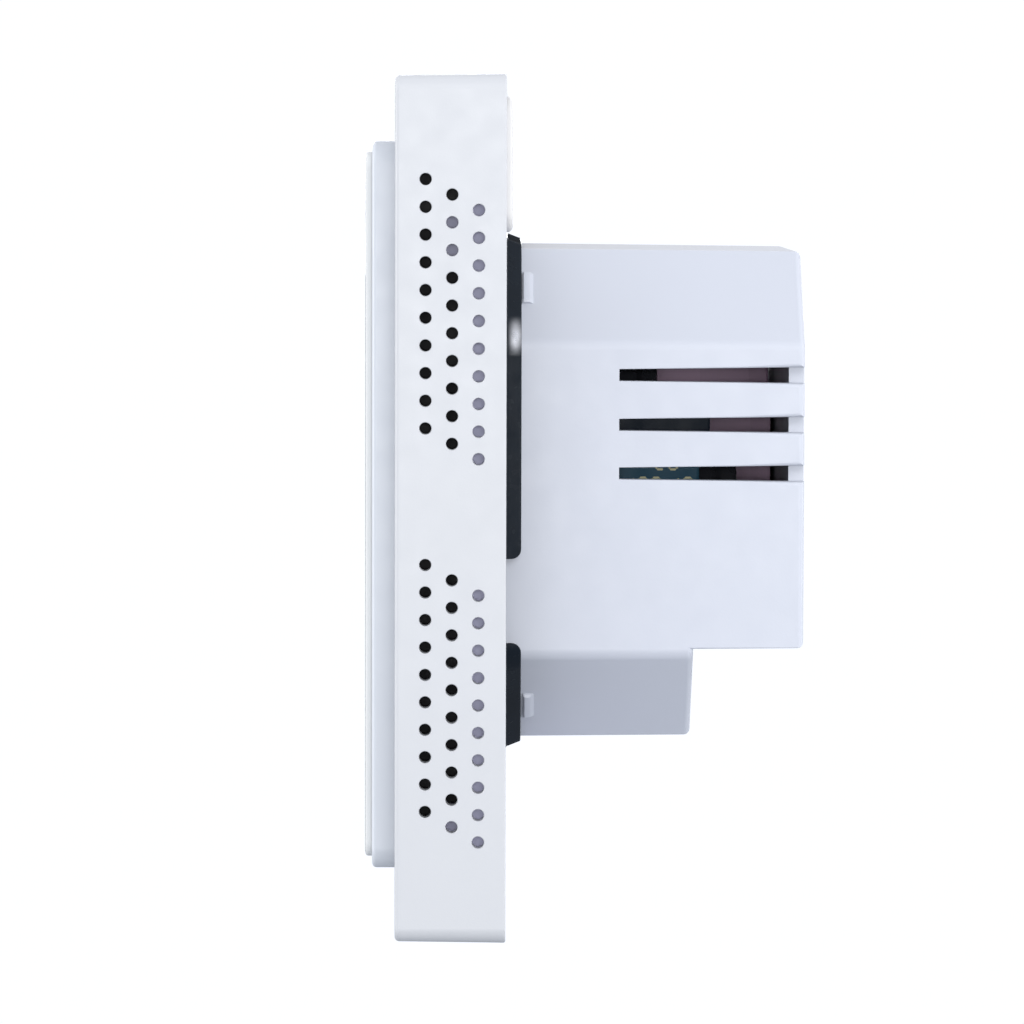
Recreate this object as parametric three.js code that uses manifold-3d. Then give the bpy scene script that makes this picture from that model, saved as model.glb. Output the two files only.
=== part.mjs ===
// Flush wall thermostat: a square display unit in front of the wall and an eight-sided
// housing with the power board, relay and screw terminals behind it.
// Millimetres. X runs to the right seen from the front, Y into the wall, Z up.
// The wall plane is Y = 0, at the back rim of the front frame.

import * as THREE from 'three';
import { mergeVertices } from 'three/addons/utils/BufferGeometryUtils.js';
import Module from 'manifold-3d';

const wasm = await Module();
wasm.setup();

// ---------------------------------------------------------------- driving dimensions

const SEAT = 0.1; // gap between pieces that rest on each other
const RUNNING = 0.3; // gap between pieces that move past each other
const PAST = 1; // how far a cutting tool runs past the face that it cuts

const FRAME = { half: 43, front: -11, corner: 1.6, draft: 0.13, wall: 1.8, face: 1.6, opening: 33 };
const RIDGE = { depth: 0.5, front: -7.8, back: -6.9 }; // what the hooks snap behind
const SHELL = { half: 36.45, front: -13.4, corner: 2.2, step: 32.8, window: 30, back: -8.2 };
const GLASS = { half: 35.35, front: -14.1, back: -12.9, corner: 1.6 };
const VENT = { radius: 0.6, pitch: 2.722, rows: 10, columnPitch: 2.621, columns: 3,
  stagger: 1.515, firstColumn: -7.98, highest: 32.7, lowest: -32.81, sides: 8 };

const LCD = { halfWidth: 23, low: -10, high: 24, front: -12.7, back: -10.1 };
const BOARD = { half: 31, front: -8.1, back: -6.9 };
const CHASSIS = { half: 37.4, front: -9.3, back: -3.5, wall: 1.2, floor: 0.9, corner: 2 };
const PIN_WINDOW = { halfWidth: 11, halfHeight: 3.5 }; // where the pins pass the chassis floor
const BOARD_SCREW = 27.3; // the four board screws' distance from the centre, both ways

const BASE = { half: 40.8, front: -2.4, back: -1.2, rimFront: -4, rimWall: 1.6 };
const PAD = { halfWidth: 38, low: 27.4, high: 40.9, back: 0.5, corner: 2 };
const HOOK = { from: 38.6, to: 40.3, front: -6.6, halfLength: 3 };
const HOOK_CENTRES = [29, -30];

const PLATE = { halfWidth: 36, halfHeight: 26.9, front: -1.1, back: 0 };
const COLLAR = { inner: 0.15, root: 1, outer: 0.6, edge: 0.2, back: 1.55,
  notchTop: -5.95, notchBottom: -14.62 };
const BOX_SCREW = { x: 30, radius: 2.1, travel: 1.5 };

const HOUSING = { half: 25.25, topHalf: 15.5, sideTop: 16, top: 25.5, bottom: -25.25,
  front: -1.1, back: 30.4, wall: 1.5, draft: 0.3, edge: 0.5 };
const STEP = { depth: 19.15, deepBottom: -15.42 };
const SLOT = { centres: [12.76, 7.7, 2.73], from: 11.5, halfFront: 0.6, halfBack: 0.81, innerEnd: 23.3 };

const POWER = { front: 1.9, back: 3.5 };
const POSTS = [[13, 21.2], [-13, 21.2], [20.8, -14.5], [-20.8, -14.5]];
const PIN = { count: 6, pitch: 2.54, half: 0.32, z: -19, hole: 0.65 };

const TERMINAL = { count: 6, pitch: 4.7, z: -19.6, screwHead: 15.8, tongue: 9.1 };
const CAGE = { halfWidth: 1.8, halfHeight: 2.2, front: 5.6, back: 12.3, wall: 0.8, nutWall: 1, side: 0.5 };

// ---------------------------------------------------------------- solid helpers

function solidFromGeometry(geometry) {
  const bare = new THREE.BufferGeometry();
  bare.setAttribute('position', geometry.getAttribute('position'));
  if (geometry.index) bare.setIndex(geometry.index);
  const merged = mergeVertices(bare, 1e-4);
  return new wasm.Manifold(new wasm.Mesh({
    numProp: 3,
    vertProperties: new Float32Array(merged.getAttribute('position').array),
    triVerts: new Uint32Array(merged.index.array),
  }));
}

function geometryFromSolid(solid) {
  const mesh = solid.getMesh();
  const geometry = new THREE.BufferGeometry();
  geometry.setAttribute('position', new THREE.BufferAttribute(new Float32Array(mesh.vertProperties), 3));
  geometry.setIndex(new THREE.BufferAttribute(new Uint32Array(mesh.triVerts), 1));
  geometry.computeVertexNormals();
  return geometry;
}

function join(first, ...others) {
  return others.reduce((sum, solid) => sum.add(solid), first);
}

function cut(first, ...tools) {
  return tools.reduce((rest, tool) => rest.subtract(tool), first);
}

function box(xLow, xHigh, yLow, yHigh, zLow, zHigh) {
  const geometry = new THREE.BoxGeometry(xHigh - xLow, yHigh - yLow, zHigh - zLow);
  geometry.translate((xLow + xHigh) / 2, (yLow + yHigh) / 2, (zLow + zHigh) / 2);
  return solidFromGeometry(geometry);
}

// A square block about the Y axis.
function block(half, yLow, yHigh) {
  return box(-half, half, yLow, yHigh, -half, half);
}

// A round rod along Y.
function rod(x, z, radius, yLow, yHigh, sides = 12) {
  const geometry = new THREE.CylinderGeometry(radius, radius, yHigh - yLow, sides);
  geometry.translate(x, (yLow + yHigh) / 2, z);
  return solidFromGeometry(geometry);
}

// A round rod along X.
function crossRod(y, z, radius, xLow, xHigh, sides) {
  const geometry = new THREE.CylinderGeometry(radius, radius, xHigh - xLow, sides);
  geometry.rotateZ(Math.PI / 2);
  geometry.translate((xLow + xHigh) / 2, y, z);
  return solidFromGeometry(geometry);
}

// A turned piece along Y from a list of [radius, y] points that starts and ends on the axis.
function turned(profile, sides = 10) {
  const points = profile.map(([radius, y]) => new THREE.Vector2(radius, y));
  return solidFromGeometry(new THREE.LatheGeometry(points, sides));
}

// A solid through outlines of [x, z] points, listed anticlockwise seen from the front, at rising Y.
function loft(rings) {
  const count = rings[0].outline.length;
  const last = (rings.length - 1) * count;
  const vertices = rings.flatMap(({ y, outline }) => outline.flatMap(([x, z]) => [x, y, z]));
  const triangles = [];
  for (let i = 1; i < count - 1; i += 1) {
    triangles.push(0, i, i + 1);
    triangles.push(last, last + i + 1, last + i);
  }
  for (let ring = 0; ring < rings.length - 1; ring += 1) {
    for (let i = 0; i < count; i += 1) {
      const here = ring * count + i;
      const next = ring * count + ((i + 1) % count);
      triangles.push(here, here + count, next + count);
      triangles.push(here, next + count, next);
    }
  }
  return new wasm.Manifold(new wasm.Mesh({
    numProp: 3,
    vertProperties: new Float32Array(vertices),
    triVerts: new Uint32Array(triangles),
  }));
}

function roundedRect(halfWidth, halfHeight, radius, steps = 3) {
  const points = [];
  const corners = [[1, -1, -90], [1, 1, 0], [-1, 1, 90], [-1, -1, 180]];
  for (const [sideX, sideZ, start] of corners) {
    for (let i = 0; i <= steps; i += 1) {
      const angle = THREE.MathUtils.degToRad(start + (90 * i) / steps);
      points.push([
        sideX * (halfWidth - radius) + radius * Math.cos(angle),
        sideZ * (halfHeight - radius) + radius * Math.sin(angle),
      ]);
    }
  }
  return points;
}

// The housing's eight-sided outline, moved inward by inset.
function octagon(inset) {
  const half = HOUSING.half - inset;
  const top = HOUSING.top - inset;
  const bottom = HOUSING.bottom + inset;
  // Moving both edges of a 45 degree corner inward shortens each flat by inset * tan(22.5 degrees).
  const trim = inset * Math.tan(Math.PI / 8);
  const topHalf = HOUSING.topHalf - trim;
  const sideTop = HOUSING.sideTop - trim;
  return [
    [topHalf, bottom], [half, -sideTop], [half, sideTop], [topHalf, top],
    [-topHalf, top], [-half, sideTop], [-half, -sideTop], [-topHalf, bottom],
  ];
}

// ---------------------------------------------------------------- materials

function material(color, roughness, metalness = 0) {
  return new THREE.MeshStandardMaterial({ color, roughness, metalness });
}

const MATERIALS = {
  white: material(0xe9edf3, 0.42),
  shellWhite: material(0xdce1ec, 0.4),
  blackPlastic: material(0x17191c, 0.5),
  blackSteel: material(0x14181c, 0.25, 0.3),
  glass: material(0xdfe8e6, 0.05),
  lcd: material(0x2b3a38, 0.1),
  diffuser: material(0xf2f4f2, 0.6),
  film: material(0xd8a94f, 0.4),
  board: material(0x1d5a3a, 0.45),
  chip: material(0x1b1b1d, 0.5),
  steel: material(0xb9bcc0, 0.3, 0.9),
  brass: material(0xc9a45a, 0.35, 0.9),
  copper: material(0xb4693b, 0.4, 0.7),
  teal: material(0x12363a, 0.35),
  blackSleeve: material(0x16171a, 0.35),
  ferrite: material(0x34343a, 0.6),
  tape: material(0x75647a, 0.45),
  varistorBlue: material(0x1c4a9a, 0.45),
  ceramic: material(0xdad6c8, 0.5),
  terminalGreen: material(0x2f7d46, 0.5),
};

// ---------------------------------------------------------------- front unit

function ventHoleCentres() {
  const groupLength = (VENT.rows - 1) * VENT.pitch + (VENT.columns - 1) * VENT.stagger;
  const centres = [];
  for (const top of [VENT.highest, VENT.lowest + groupLength]) {
    for (let column = 0; column < VENT.columns; column += 1) {
      for (let row = 0; row < VENT.rows; row += 1) {
        centres.push([
          VENT.firstColumn + column * VENT.columnPitch,
          top - column * VENT.stagger - row * VENT.pitch,
        ]);
      }
    }
  }
  return centres;
}

function frontFrame() {
  const frontHalf = FRAME.half - FRAME.draft;
  const edge = 0.4;
  const outer = loft([
    { y: FRAME.front, outline: roundedRect(frontHalf - edge, frontHalf - edge, FRAME.corner - edge) },
    { y: FRAME.front + edge, outline: roundedRect(frontHalf, frontHalf, FRAME.corner) },
    { y: 0, outline: roundedRect(FRAME.half, FRAME.half, FRAME.corner) },
  ]);
  const cavityHalf = FRAME.half - FRAME.wall;
  const cavity = block(cavityHalf, FRAME.front + FRAME.face, PAST);
  const opening = block(FRAME.opening, FRAME.front - PAST, FRAME.front + FRAME.face + PAST);
  let frame = cut(outer, cavity, opening);
  for (const side of [-1, 1]) {
    for (const z of HOOK_CENTRES) {
      const low = side * cavityHalf - RIDGE.depth;
      const high = side * cavityHalf + RIDGE.depth;
      const ridge = box(low, high, RIDGE.front, RIDGE.back, z - HOOK.halfLength, z + HOOK.halfLength);
      frame = join(frame, ridge);
    }
  }
  for (const [y, z] of ventHoleCentres()) {
    const inner = cavityHalf - PAST;
    const outerEnd = FRAME.half + PAST;
    frame = cut(frame, crossRod(y, z, VENT.radius, inner, outerEnd, VENT.sides));
    frame = cut(frame, crossRod(y, z, VENT.radius, -outerEnd, -inner, VENT.sides));
  }
  return frame;
}

function displayShell() {
  const edge = 0.5;
  const rear = FRAME.front - SEAT;
  const rim = loft([
    { y: SHELL.front, outline: roundedRect(SHELL.half - edge, SHELL.half - edge, SHELL.corner - edge) },
    { y: SHELL.front + edge, outline: roundedRect(SHELL.half, SHELL.half, SHELL.corner) },
    { y: rear, outline: roundedRect(SHELL.half, SHELL.half, SHELL.corner) },
  ]);
  const step = block(SHELL.step, rear - edge, SHELL.back);
  const pocket = block(GLASS.half + SEAT, SHELL.front - PAST, GLASS.back + SEAT);
  const window = block(SHELL.window, SHELL.front - PAST, SHELL.back + PAST);
  let shell = cut(join(rim, step), pocket, window);
  const postRadius = 3;
  const postFront = GLASS.back + 0.5;
  const screwHole = { radius: 1.25, from: -12 };
  for (const x of [-BOARD_SCREW, BOARD_SCREW]) {
    for (const z of [-BOARD_SCREW, BOARD_SCREW]) {
      shell = join(shell, rod(x, z, postRadius, postFront, SHELL.back));
      shell = cut(shell, rod(x, z, screwHole.radius, screwHole.from, SHELL.back + PAST, 8));
    }
  }
  return shell;
}

function frontGlass() {
  const edge = 0.2;
  return loft([
    { y: GLASS.front, outline: roundedRect(GLASS.half - edge, GLASS.half - edge, GLASS.corner - edge) },
    { y: GLASS.front + edge, outline: roundedRect(GLASS.half, GLASS.half, GLASS.corner) },
    { y: GLASS.back, outline: roundedRect(GLASS.half, GLASS.half, GLASS.corner) },
  ]);
}

function lcdPanel() {
  const ledge = 2; // the rear glass carries the contact ledge, so it is the taller of the two
  const middle = LCD.front + 1.2;
  const front = box(-LCD.halfWidth, LCD.halfWidth, LCD.front, middle, LCD.low + ledge, LCD.high);
  const rear = box(-LCD.halfWidth, LCD.halfWidth, middle, LCD.back, LCD.low, LCD.high);
  return join(front, rear);
}

function lightGuide() {
  const front = LCD.back + SEAT;
  const back = BOARD.front - SEAT;
  const hollowDepth = 0.9;
  const insetBlock = (inset, yLow, yHigh) => box(
    -LCD.halfWidth + inset, LCD.halfWidth - inset, yLow, yHigh, LCD.low + inset, LCD.high - inset,
  );
  // The hollow behind the guide leaves room for its lamps.
  return cut(insetBlock(1, front, back), insetBlock(3, back - hollowDepth, back + PAST));
}

const TOUCH = { halfWidth: 23.5, low: -27, high: -13, thickness: 0.4, tailHalf: 4, tailLow: -28.6 };

function touchFilm() {
  const front = LCD.front;
  const back = front + TOUCH.thickness;
  const film = box(-TOUCH.halfWidth, TOUCH.halfWidth, front, back, TOUCH.low, TOUCH.high);
  const middle = front + TOUCH.thickness / 2;
  const tail = box(-TOUCH.tailHalf, TOUCH.tailHalf, middle, back, TOUCH.tailLow, TOUCH.high);
  return join(film, tail);
}

function displayBoard() {
  let board = box(-BOARD.half, BOARD.half, BOARD.front, BOARD.back, -BOARD.half, BOARD.half);
  for (const x of [-BOARD_SCREW, BOARD_SCREW]) {
    for (const z of [-BOARD_SCREW, BOARD_SCREW]) {
      board = cut(board, rod(x, z, 1.3, BOARD.front - PAST, BOARD.back + PAST, 8));
    }
  }
  return board;
}

const BOARD_PARTS_SEAT = BOARD.back + SEAT; // where the parts behind the display board stand

// Cuts a straight or crossed driver recess of the given depth into a screw head that faces front or back.
function driverRecess(face, depth, halfLength, halfWidth, crossed) {
  const low = face - depth;
  const high = face + depth;
  const slot = box(-halfLength, halfLength, low, high, -halfWidth, halfWidth);
  return crossed ? join(slot, box(-halfWidth, halfWidth, low, high, -halfLength, halfLength)) : slot;
}

function boardScrew(x, z) {
  const tip = -11.6;
  const shank = 1;
  const head = { radius: 2, rimRadius: 1.8, back: -5.3 };
  const screw = turned([
    [0, tip], [shank, tip + 0.2], [shank, BOARD_PARTS_SEAT], [head.radius, BOARD_PARTS_SEAT],
    [head.rimRadius, head.back - 0.1], [0, head.back],
  ]);
  return cut(screw, driverRecess(head.back, 0.6, 1.2, 0.2, false)).translate([x, 0, z]);
}

const CHIP = { half: 5, z: 5, back: -5.3, dotRadius: 0.6, dotDepth: 0.2, dotInset: 1.2 };

function controlChip() {
  const dot = rod(
    CHIP.dotInset - CHIP.half, CHIP.z + CHIP.half - CHIP.dotInset, CHIP.dotRadius,
    CHIP.back - CHIP.dotDepth, CHIP.back + PAST, 6,
  );
  return cut(
    box(-CHIP.half, CHIP.half, BOARD_PARTS_SEAT, CHIP.back, CHIP.z - CHIP.half, CHIP.z + CHIP.half),
    dot,
  );
}

const CELL = { x: 17, z: 8, radius: 6.25, poleRadius: 5.3, front: -6.4, shoulder: -6.1, back: -4.6 };
const HOLDER = { wall: 1.3, floor: -6.5, back: -5, gapHalf: 2.5, sides: 20 };

function cellHolder() {
  const outerRadius = CELL.radius + HOLDER.wall;
  const cup = rod(CELL.x, CELL.z, outerRadius, BOARD_PARTS_SEAT, HOLDER.back, HOLDER.sides);
  const well = rod(CELL.x, CELL.z, CELL.radius + SEAT, HOLDER.floor, HOLDER.back + PAST, HOLDER.sides);
  const fingerGap = box(
    CELL.x - HOLDER.gapHalf, CELL.x + HOLDER.gapHalf, HOLDER.floor, HOLDER.back + PAST,
    CELL.z - outerRadius - PAST, CELL.z,
  );
  return cut(cup, well, fingerGap);
}

function backupCell() {
  const cell = turned([
    [0, CELL.front], [CELL.poleRadius, CELL.front], [CELL.poleRadius, CELL.shoulder],
    [CELL.radius, CELL.shoulder], [CELL.radius, CELL.back], [0, CELL.back],
  ], HOLDER.sides);
  return cell.translate([CELL.x, 0, CELL.z]);
}

const SENSOR = { x: 24, y: -7.5, z: -34, radius: 1.1, leadSpacing: 1.2, leadHalf: 0.25 };

function airSensor() {
  const bead = solidFromGeometry(
    new THREE.SphereGeometry(SENSOR.radius, 10, 6).translate(SENSOR.x, SENSOR.y, SENSOR.z),
  );
  const leads = [-1, 1].map((side) => {
    const x = SENSOR.x + (side * SENSOR.leadSpacing) / 2;
    return box(
      x - SENSOR.leadHalf, x + SENSOR.leadHalf, SENSOR.y - SENSOR.leadHalf, SENSOR.y + SENSOR.leadHalf,
      SENSOR.z, -BOARD.half - SEAT,
    );
  });
  return join(bead, ...leads);
}

function pinOffsets() {
  return Array.from({ length: PIN.count }, (_, i) => (i - (PIN.count - 1) / 2) * PIN.pitch);
}

// A row of upright blocks, one for each pin, used for the pins and for the socket's holes.
function pinRow(half, yLow, yHigh) {
  return pinOffsets().map((x) => box(x - half, x + half, yLow, yHigh, PIN.z - half, PIN.z + half));
}

function pinStrip(yLow, yHigh) {
  const halfLength = (PIN.count * PIN.pitch) / 2;
  const halfHeight = PIN.pitch / 2;
  return box(-halfLength, halfLength, yLow, yHigh, PIN.z - halfHeight, PIN.z + halfHeight);
}

function pinHeader() {
  const stripBack = -4.6;
  const pinEnd = -0.6;
  return join(pinStrip(BOARD_PARTS_SEAT, stripBack), ...pinRow(PIN.half, stripBack - 0.4, pinEnd));
}

function innerChassis() {
  const inner = CHASSIS.half - CHASSIS.wall;
  const floorFront = CHASSIS.back - CHASSIS.floor;
  const outline = roundedRect(CHASSIS.half, CHASSIS.half, CHASSIS.corner);
  let chassis = cut(
    loft([{ y: CHASSIS.front, outline }, { y: CHASSIS.back, outline }]),
    block(inner, CHASSIS.front - PAST, floorFront),
    box(-PIN_WINDOW.halfWidth, PIN_WINDOW.halfWidth, floorFront - PAST, CHASSIS.back + PAST,
      PIN.z - PIN_WINDOW.halfHeight, PIN.z + PIN_WINDOW.halfHeight),
  );
  // Three air slots in each of the top and bottom walls let room air reach the sensor.
  const airSlot = { spacing: 24, halfLength: 6, front: -8.4, back: -6 };
  for (const low of [inner - PAST, -CHASSIS.half - PAST]) {
    for (const x of [-airSlot.spacing, 0, airSlot.spacing]) {
      const high = low + CHASSIS.wall + 2 * PAST;
      const slot = box(x - airSlot.halfLength, x + airSlot.halfLength, airSlot.front, airSlot.back, low, high);
      chassis = cut(chassis, slot);
    }
  }
  return chassis;
}

// ---------------------------------------------------------------- rear unit

// The wells that the assembly screws' heads sit in.
const WELL = { outer: 2.6, inner: 2.1, back: 0.6, shelf: -0.4, hole: 1.5 };

function basePlate() {
  const rimInner = BASE.half - BASE.rimWall;
  let plate = cut(
    block(BASE.half, BASE.rimFront, BASE.back),
    block(rimInner, BASE.rimFront - PAST, BASE.front),
  );
  for (const side of [-1, 1]) {
    for (const z of HOOK_CENTRES) {
      const low = side > 0 ? HOOK.from : -HOOK.to;
      const high = side > 0 ? HOOK.to : -HOOK.from;
      plate = join(plate, box(low, high, HOOK.front, BASE.front, z - HOOK.halfLength, z + HOOK.halfLength));
    }
  }
  const padHalfHeight = (PAD.high - PAD.low) / 2;
  const padCentre = (PAD.high + PAD.low) / 2;
  const padOutline = roundedRect(PAD.halfWidth, padHalfHeight, PAD.corner);
  const pad = loft([{ y: BASE.front + 0.2, outline: padOutline }, { y: PAD.back, outline: padOutline }]);
  plate = join(plate, pad.translate([0, 0, padCentre]));
  for (const [x, z] of POSTS) {
    plate = join(plate, rod(x, z, WELL.outer, BASE.front, WELL.back));
    plate = cut(
      plate,
      rod(x, z, WELL.inner, BASE.front - PAST, WELL.shelf),
      rod(x, z, WELL.hole, WELL.shelf - PAST, WELL.back + PAST, 8),
    );
  }
  // Openings for the pins and for a driver on the two wall box screws.
  const through = [BASE.front - PAST, BASE.back + PAST];
  const socketGap = { halfWidth: (PIN.count * PIN.pitch) / 2 + 1, halfHeight: 2.5 };
  const driverGap = { halfWidth: 4.5, halfHeight: 6 };
  plate = cut(
    plate,
    box(-socketGap.halfWidth, socketGap.halfWidth, ...through,
      PIN.z - socketGap.halfHeight, PIN.z + socketGap.halfHeight),
  );
  for (const centre of [-BOX_SCREW.x, BOX_SCREW.x]) {
    plate = cut(
      plate,
      box(centre - driverGap.halfWidth, centre + driverGap.halfWidth, ...through,
        -driverGap.halfHeight, driverGap.halfHeight),
    );
  }
  return plate;
}

function mountingPlate() {
  const sheetOutline = roundedRect(PLATE.halfWidth, PLATE.halfHeight, 3);
  const sheet = loft([{ y: PLATE.front, outline: sheetOutline }, { y: PLATE.back, outline: sheetOutline }]);
  // The collar leans inward from its root in the sheet to its free edge.
  const collar = loft([
    { y: PLATE.front, outline: octagon(-COLLAR.root) },
    { y: PLATE.back, outline: octagon(-COLLAR.root) },
    { y: COLLAR.back - COLLAR.edge, outline: octagon(-COLLAR.outer) },
    { y: COLLAR.back, outline: octagon(-COLLAR.outer + COLLAR.edge) },
  ]);
  const passage = octagon(-COLLAR.inner);
  const hole = loft([
    { y: PLATE.front - PAST, outline: passage },
    { y: COLLAR.back + PAST, outline: passage },
  ]);
  let plate = cut(join(sheet, collar), hole);
  for (const side of [-1, 1]) {
    const reach = HOUSING.half + COLLAR.root + PAST;
    const low = side > 0 ? HOUSING.topHalf : -reach;
    plate = cut(plate, box(low, low + reach - HOUSING.topHalf, PLATE.back, COLLAR.back + PAST,
      COLLAR.notchBottom, COLLAR.notchTop));
    const slotEnd = BOX_SCREW.radius - 0.01; // just under half the width, so that no two points coincide
    const slotOutline = roundedRect(BOX_SCREW.radius, BOX_SCREW.radius + BOX_SCREW.travel, slotEnd);
    const slot = loft([
      { y: PLATE.front - PAST, outline: slotOutline },
      { y: PLATE.back + PAST, outline: slotOutline },
    ]);
    plate = cut(plate, slot.translate([side * BOX_SCREW.x, 0, 0]));
  }
  return plate;
}

function housingShell() {
  const outer = loft([
    { y: HOUSING.front, outline: octagon(0) },
    { y: HOUSING.back - HOUSING.edge, outline: octagon(HOUSING.draft) },
    { y: HOUSING.back, outline: octagon(HOUSING.draft + HOUSING.edge) },
  ]);
  const inner = loft([
    { y: HOUSING.front - PAST, outline: octagon(HOUSING.wall) },
    { y: HOUSING.back - HOUSING.wall, outline: octagon(HOUSING.wall + HOUSING.draft) },
  ]);
  const reach = 40;
  const behindStep = box(-reach, reach, STEP.depth, reach, -reach, STEP.deepBottom);
  const wall = HOUSING.wall;
  const innerStep = box(-reach, reach, STEP.depth - wall, reach, -reach, STEP.deepBottom + wall);
  return cut(outer, behindStep, cut(inner, innerStep));
}

const BUMP = { thickness: 1.2, depth: 1, length: 4, y: 2.3, centres: [[19.6, 21.3], [19.3, -21.45]] };

// Small bumps on the slanted faces that hold the mounting plate from behind.
function catchBumps() {
  const bumps = [];
  for (const side of [-1, 1]) {
    for (const [x, z] of BUMP.centres) {
      const geometry = new THREE.BoxGeometry(BUMP.thickness, BUMP.depth, BUMP.length);
      geometry.rotateY((-Math.sign(z) * side * Math.PI) / 4);
      geometry.translate(side * x, BUMP.y, z);
      bumps.push(solidFromGeometry(geometry));
    }
  }
  return bumps;
}

function terminalCentres() {
  return Array.from({ length: TERMINAL.count }, (_, i) => (i - (TERMINAL.count - 1) / 2) * TERMINAL.pitch);
}

function rearHousing() {
  let housing = join(housingShell(), ...catchBumps());
  const reach = HOUSING.half + PAST;
  for (const side of [-1, 1]) {
    for (const z of SLOT.centres) {
      const low = side > 0 ? SLOT.innerEnd : -reach;
      const high = low + reach - SLOT.innerEnd;
      const ring = (y, half) => ({
        y,
        outline: [[low, z - half], [high, z - half], [high, z + half], [low, z + half]],
      });
      const slot = loft([ring(SLOT.from, SLOT.halfFront), ring(HOUSING.back + PAST, SLOT.halfBack)]);
      housing = cut(housing, slot);
    }
  }
  const post = { radius: 3.1, front: POWER.back + SEAT, back: 12, bore: 1.4, boreEnd: 11 };
  for (const [x, z] of POSTS) {
    housing = join(housing, rod(x, z, post.radius, post.front, post.back, 12));
    housing = cut(housing, rod(x, z, post.bore, post.front - PAST, post.boreEnd, 8));
  }
  // Driver holes in the step face and wire ports in the bottom face, one of each per terminal.
  const driverRadius = 2;
  const port = { halfWidth: 1.7, front: CAGE.front + 0.6, back: CAGE.front + 4.6 };
  const bottomInside = HOUSING.bottom + HOUSING.wall + PAST;
  for (const x of terminalCentres()) {
    const driverHole = rod(x, TERMINAL.z, driverRadius, STEP.depth - HOUSING.wall - PAST, STEP.depth + PAST);
    const wirePort = box(
      x - port.halfWidth, x + port.halfWidth, port.front, port.back, HOUSING.bottom - PAST, bottomInside,
    );
    housing = cut(housing, driverHole, wirePort);
  }
  return housing;
}

function powerBoard() {
  const clearance = 0.3;
  const outline = octagon(HOUSING.wall + clearance);
  let board = loft([{ y: POWER.front, outline }, { y: POWER.back, outline }]);
  for (const [x, z] of POSTS) {
    board = cut(board, rod(x, z, 1.6, POWER.front - PAST, POWER.back + PAST, 10));
  }
  return board;
}

function assemblyScrew(x, z) {
  const head = { front: -2.2, radius: 1.9, rimRadius: 1.6, seat: WELL.shelf - SEAT };
  const shank = { radius: 1.2, taper: 9.6, tip: 10.2 };
  const screw = turned([
    [0, head.front], [head.rimRadius, head.front], [head.radius, head.front + 0.4], [head.radius, head.seat],
    [shank.radius, head.seat], [shank.radius, shank.taper], [0, shank.tip],
  ]);
  return cut(screw, driverRecess(head.front, 0.7, 1.1, 0.22, true)).translate([x, 0, z]);
}

function pinSocket() {
  const front = -2.6;
  const holeEnd = 0.6;
  return cut(pinStrip(front, POWER.front - SEAT), ...pinRow(PIN.hole, front - PAST, holeEnd));
}

const PARTS_SEAT = POWER.back + SEAT; // where the parts on the power board stand

const RELAY = { xLow: 6.2, xHigh: 21.5, zLow: 3.75, zHigh: 10.95, back: 20.9, wall: 0.6, baseBack: 5.2 };
const RELAY_SEAT = RELAY.baseBack + SEAT; // where the relay's inner parts stand

function relayCase() {
  const { xLow, xHigh, zLow, zHigh, back, wall } = RELAY;
  return cut(
    box(xLow, xHigh, RELAY_SEAT, back, zLow, zHigh),
    box(xLow + wall, xHigh - wall, RELAY_SEAT - PAST, back - wall, zLow + wall, zHigh - wall),
  );
}

function relayBase() {
  return box(RELAY.xLow, RELAY.xHigh, PARTS_SEAT, RELAY.baseBack, RELAY.zLow, RELAY.zHigh);
}

const COIL = {
  x: 11, z: 7.35, from: 6, to: 15.4, flange: 2.6, flangeDepth: 0.8, wire: 2.2, core: 1.2, coreEnd: 16.1,
};

function relayCoil() {
  const { from, to, flange, flangeDepth, wire, core, coreEnd } = COIL;
  const coil = turned([
    [0, from], [flange, from], [flange, from + flangeDepth], [wire, from + flangeDepth],
    [wire, to - flangeDepth], [flange, to - flangeDepth], [flange, to],
    [core, to], [core, coreEnd], [0, coreEnd],
  ], 14);
  return coil.translate([COIL.x, 0, COIL.z]);
}

// The yoke runs along the coil's side, and its foot closes the magnetic path under the coil.
const YOKE = {
  from: COIL.x + 3.2, thickness: 1, back: 16.4, halfHeight: 2.2, footBack: 5.9, footFrom: COIL.x - 2,
};

function relayYoke() {
  const to = YOKE.from + YOKE.thickness;
  const zLow = COIL.z - YOKE.halfHeight;
  const zHigh = COIL.z + YOKE.halfHeight;
  const leg = box(YOKE.from, to, RELAY_SEAT, YOKE.back, zLow, zHigh);
  const foot = box(YOKE.footFrom, to, RELAY_SEAT, YOKE.footBack, zLow, zHigh);
  return join(leg, foot);
}

// The armature rocks on the yoke's end and is pulled down onto the coil's core.
const ARMATURE = { pivotX: COIL.x + 3.7, pivotY: 17.2, front: 16.9, back: 17.8, halfHeight: 2 };
const CONTACT = { halfHeight: 1.2, springBack: 17.5, armFront: 18, armBack: 18.6, post: 18.4, outer: 19.2 };

function relayArmature() {
  const { pivotX, pivotY, front, back, halfHeight } = ARMATURE;
  const near = pivotX - 5.9;
  const far = pivotX + 0.6;
  const plate = box(near, far, front, back, COIL.z - halfHeight, COIL.z + halfHeight);
  const springEnd = CONTACT.post - 0.4;
  const spring = box(
    far - SEAT, springEnd, pivotY, CONTACT.springBack, COIL.z - CONTACT.halfHeight, COIL.z + CONTACT.halfHeight,
  );
  return join(plate, spring);
}

function relayContact() {
  const { halfHeight, armFront, armBack, post, outer } = CONTACT;
  const strip = (xLow, yLow) => box(xLow, outer, yLow, armBack, COIL.z - halfHeight, COIL.z + halfHeight);
  return join(strip(post, RELAY_SEAT), strip(post - 1.5, armFront));
}

const FILM_CAPACITOR = { xLow: 12, xHigh: 22.4, zLow: -4.8, zHigh: 3.5, back: 19.8 };

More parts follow.
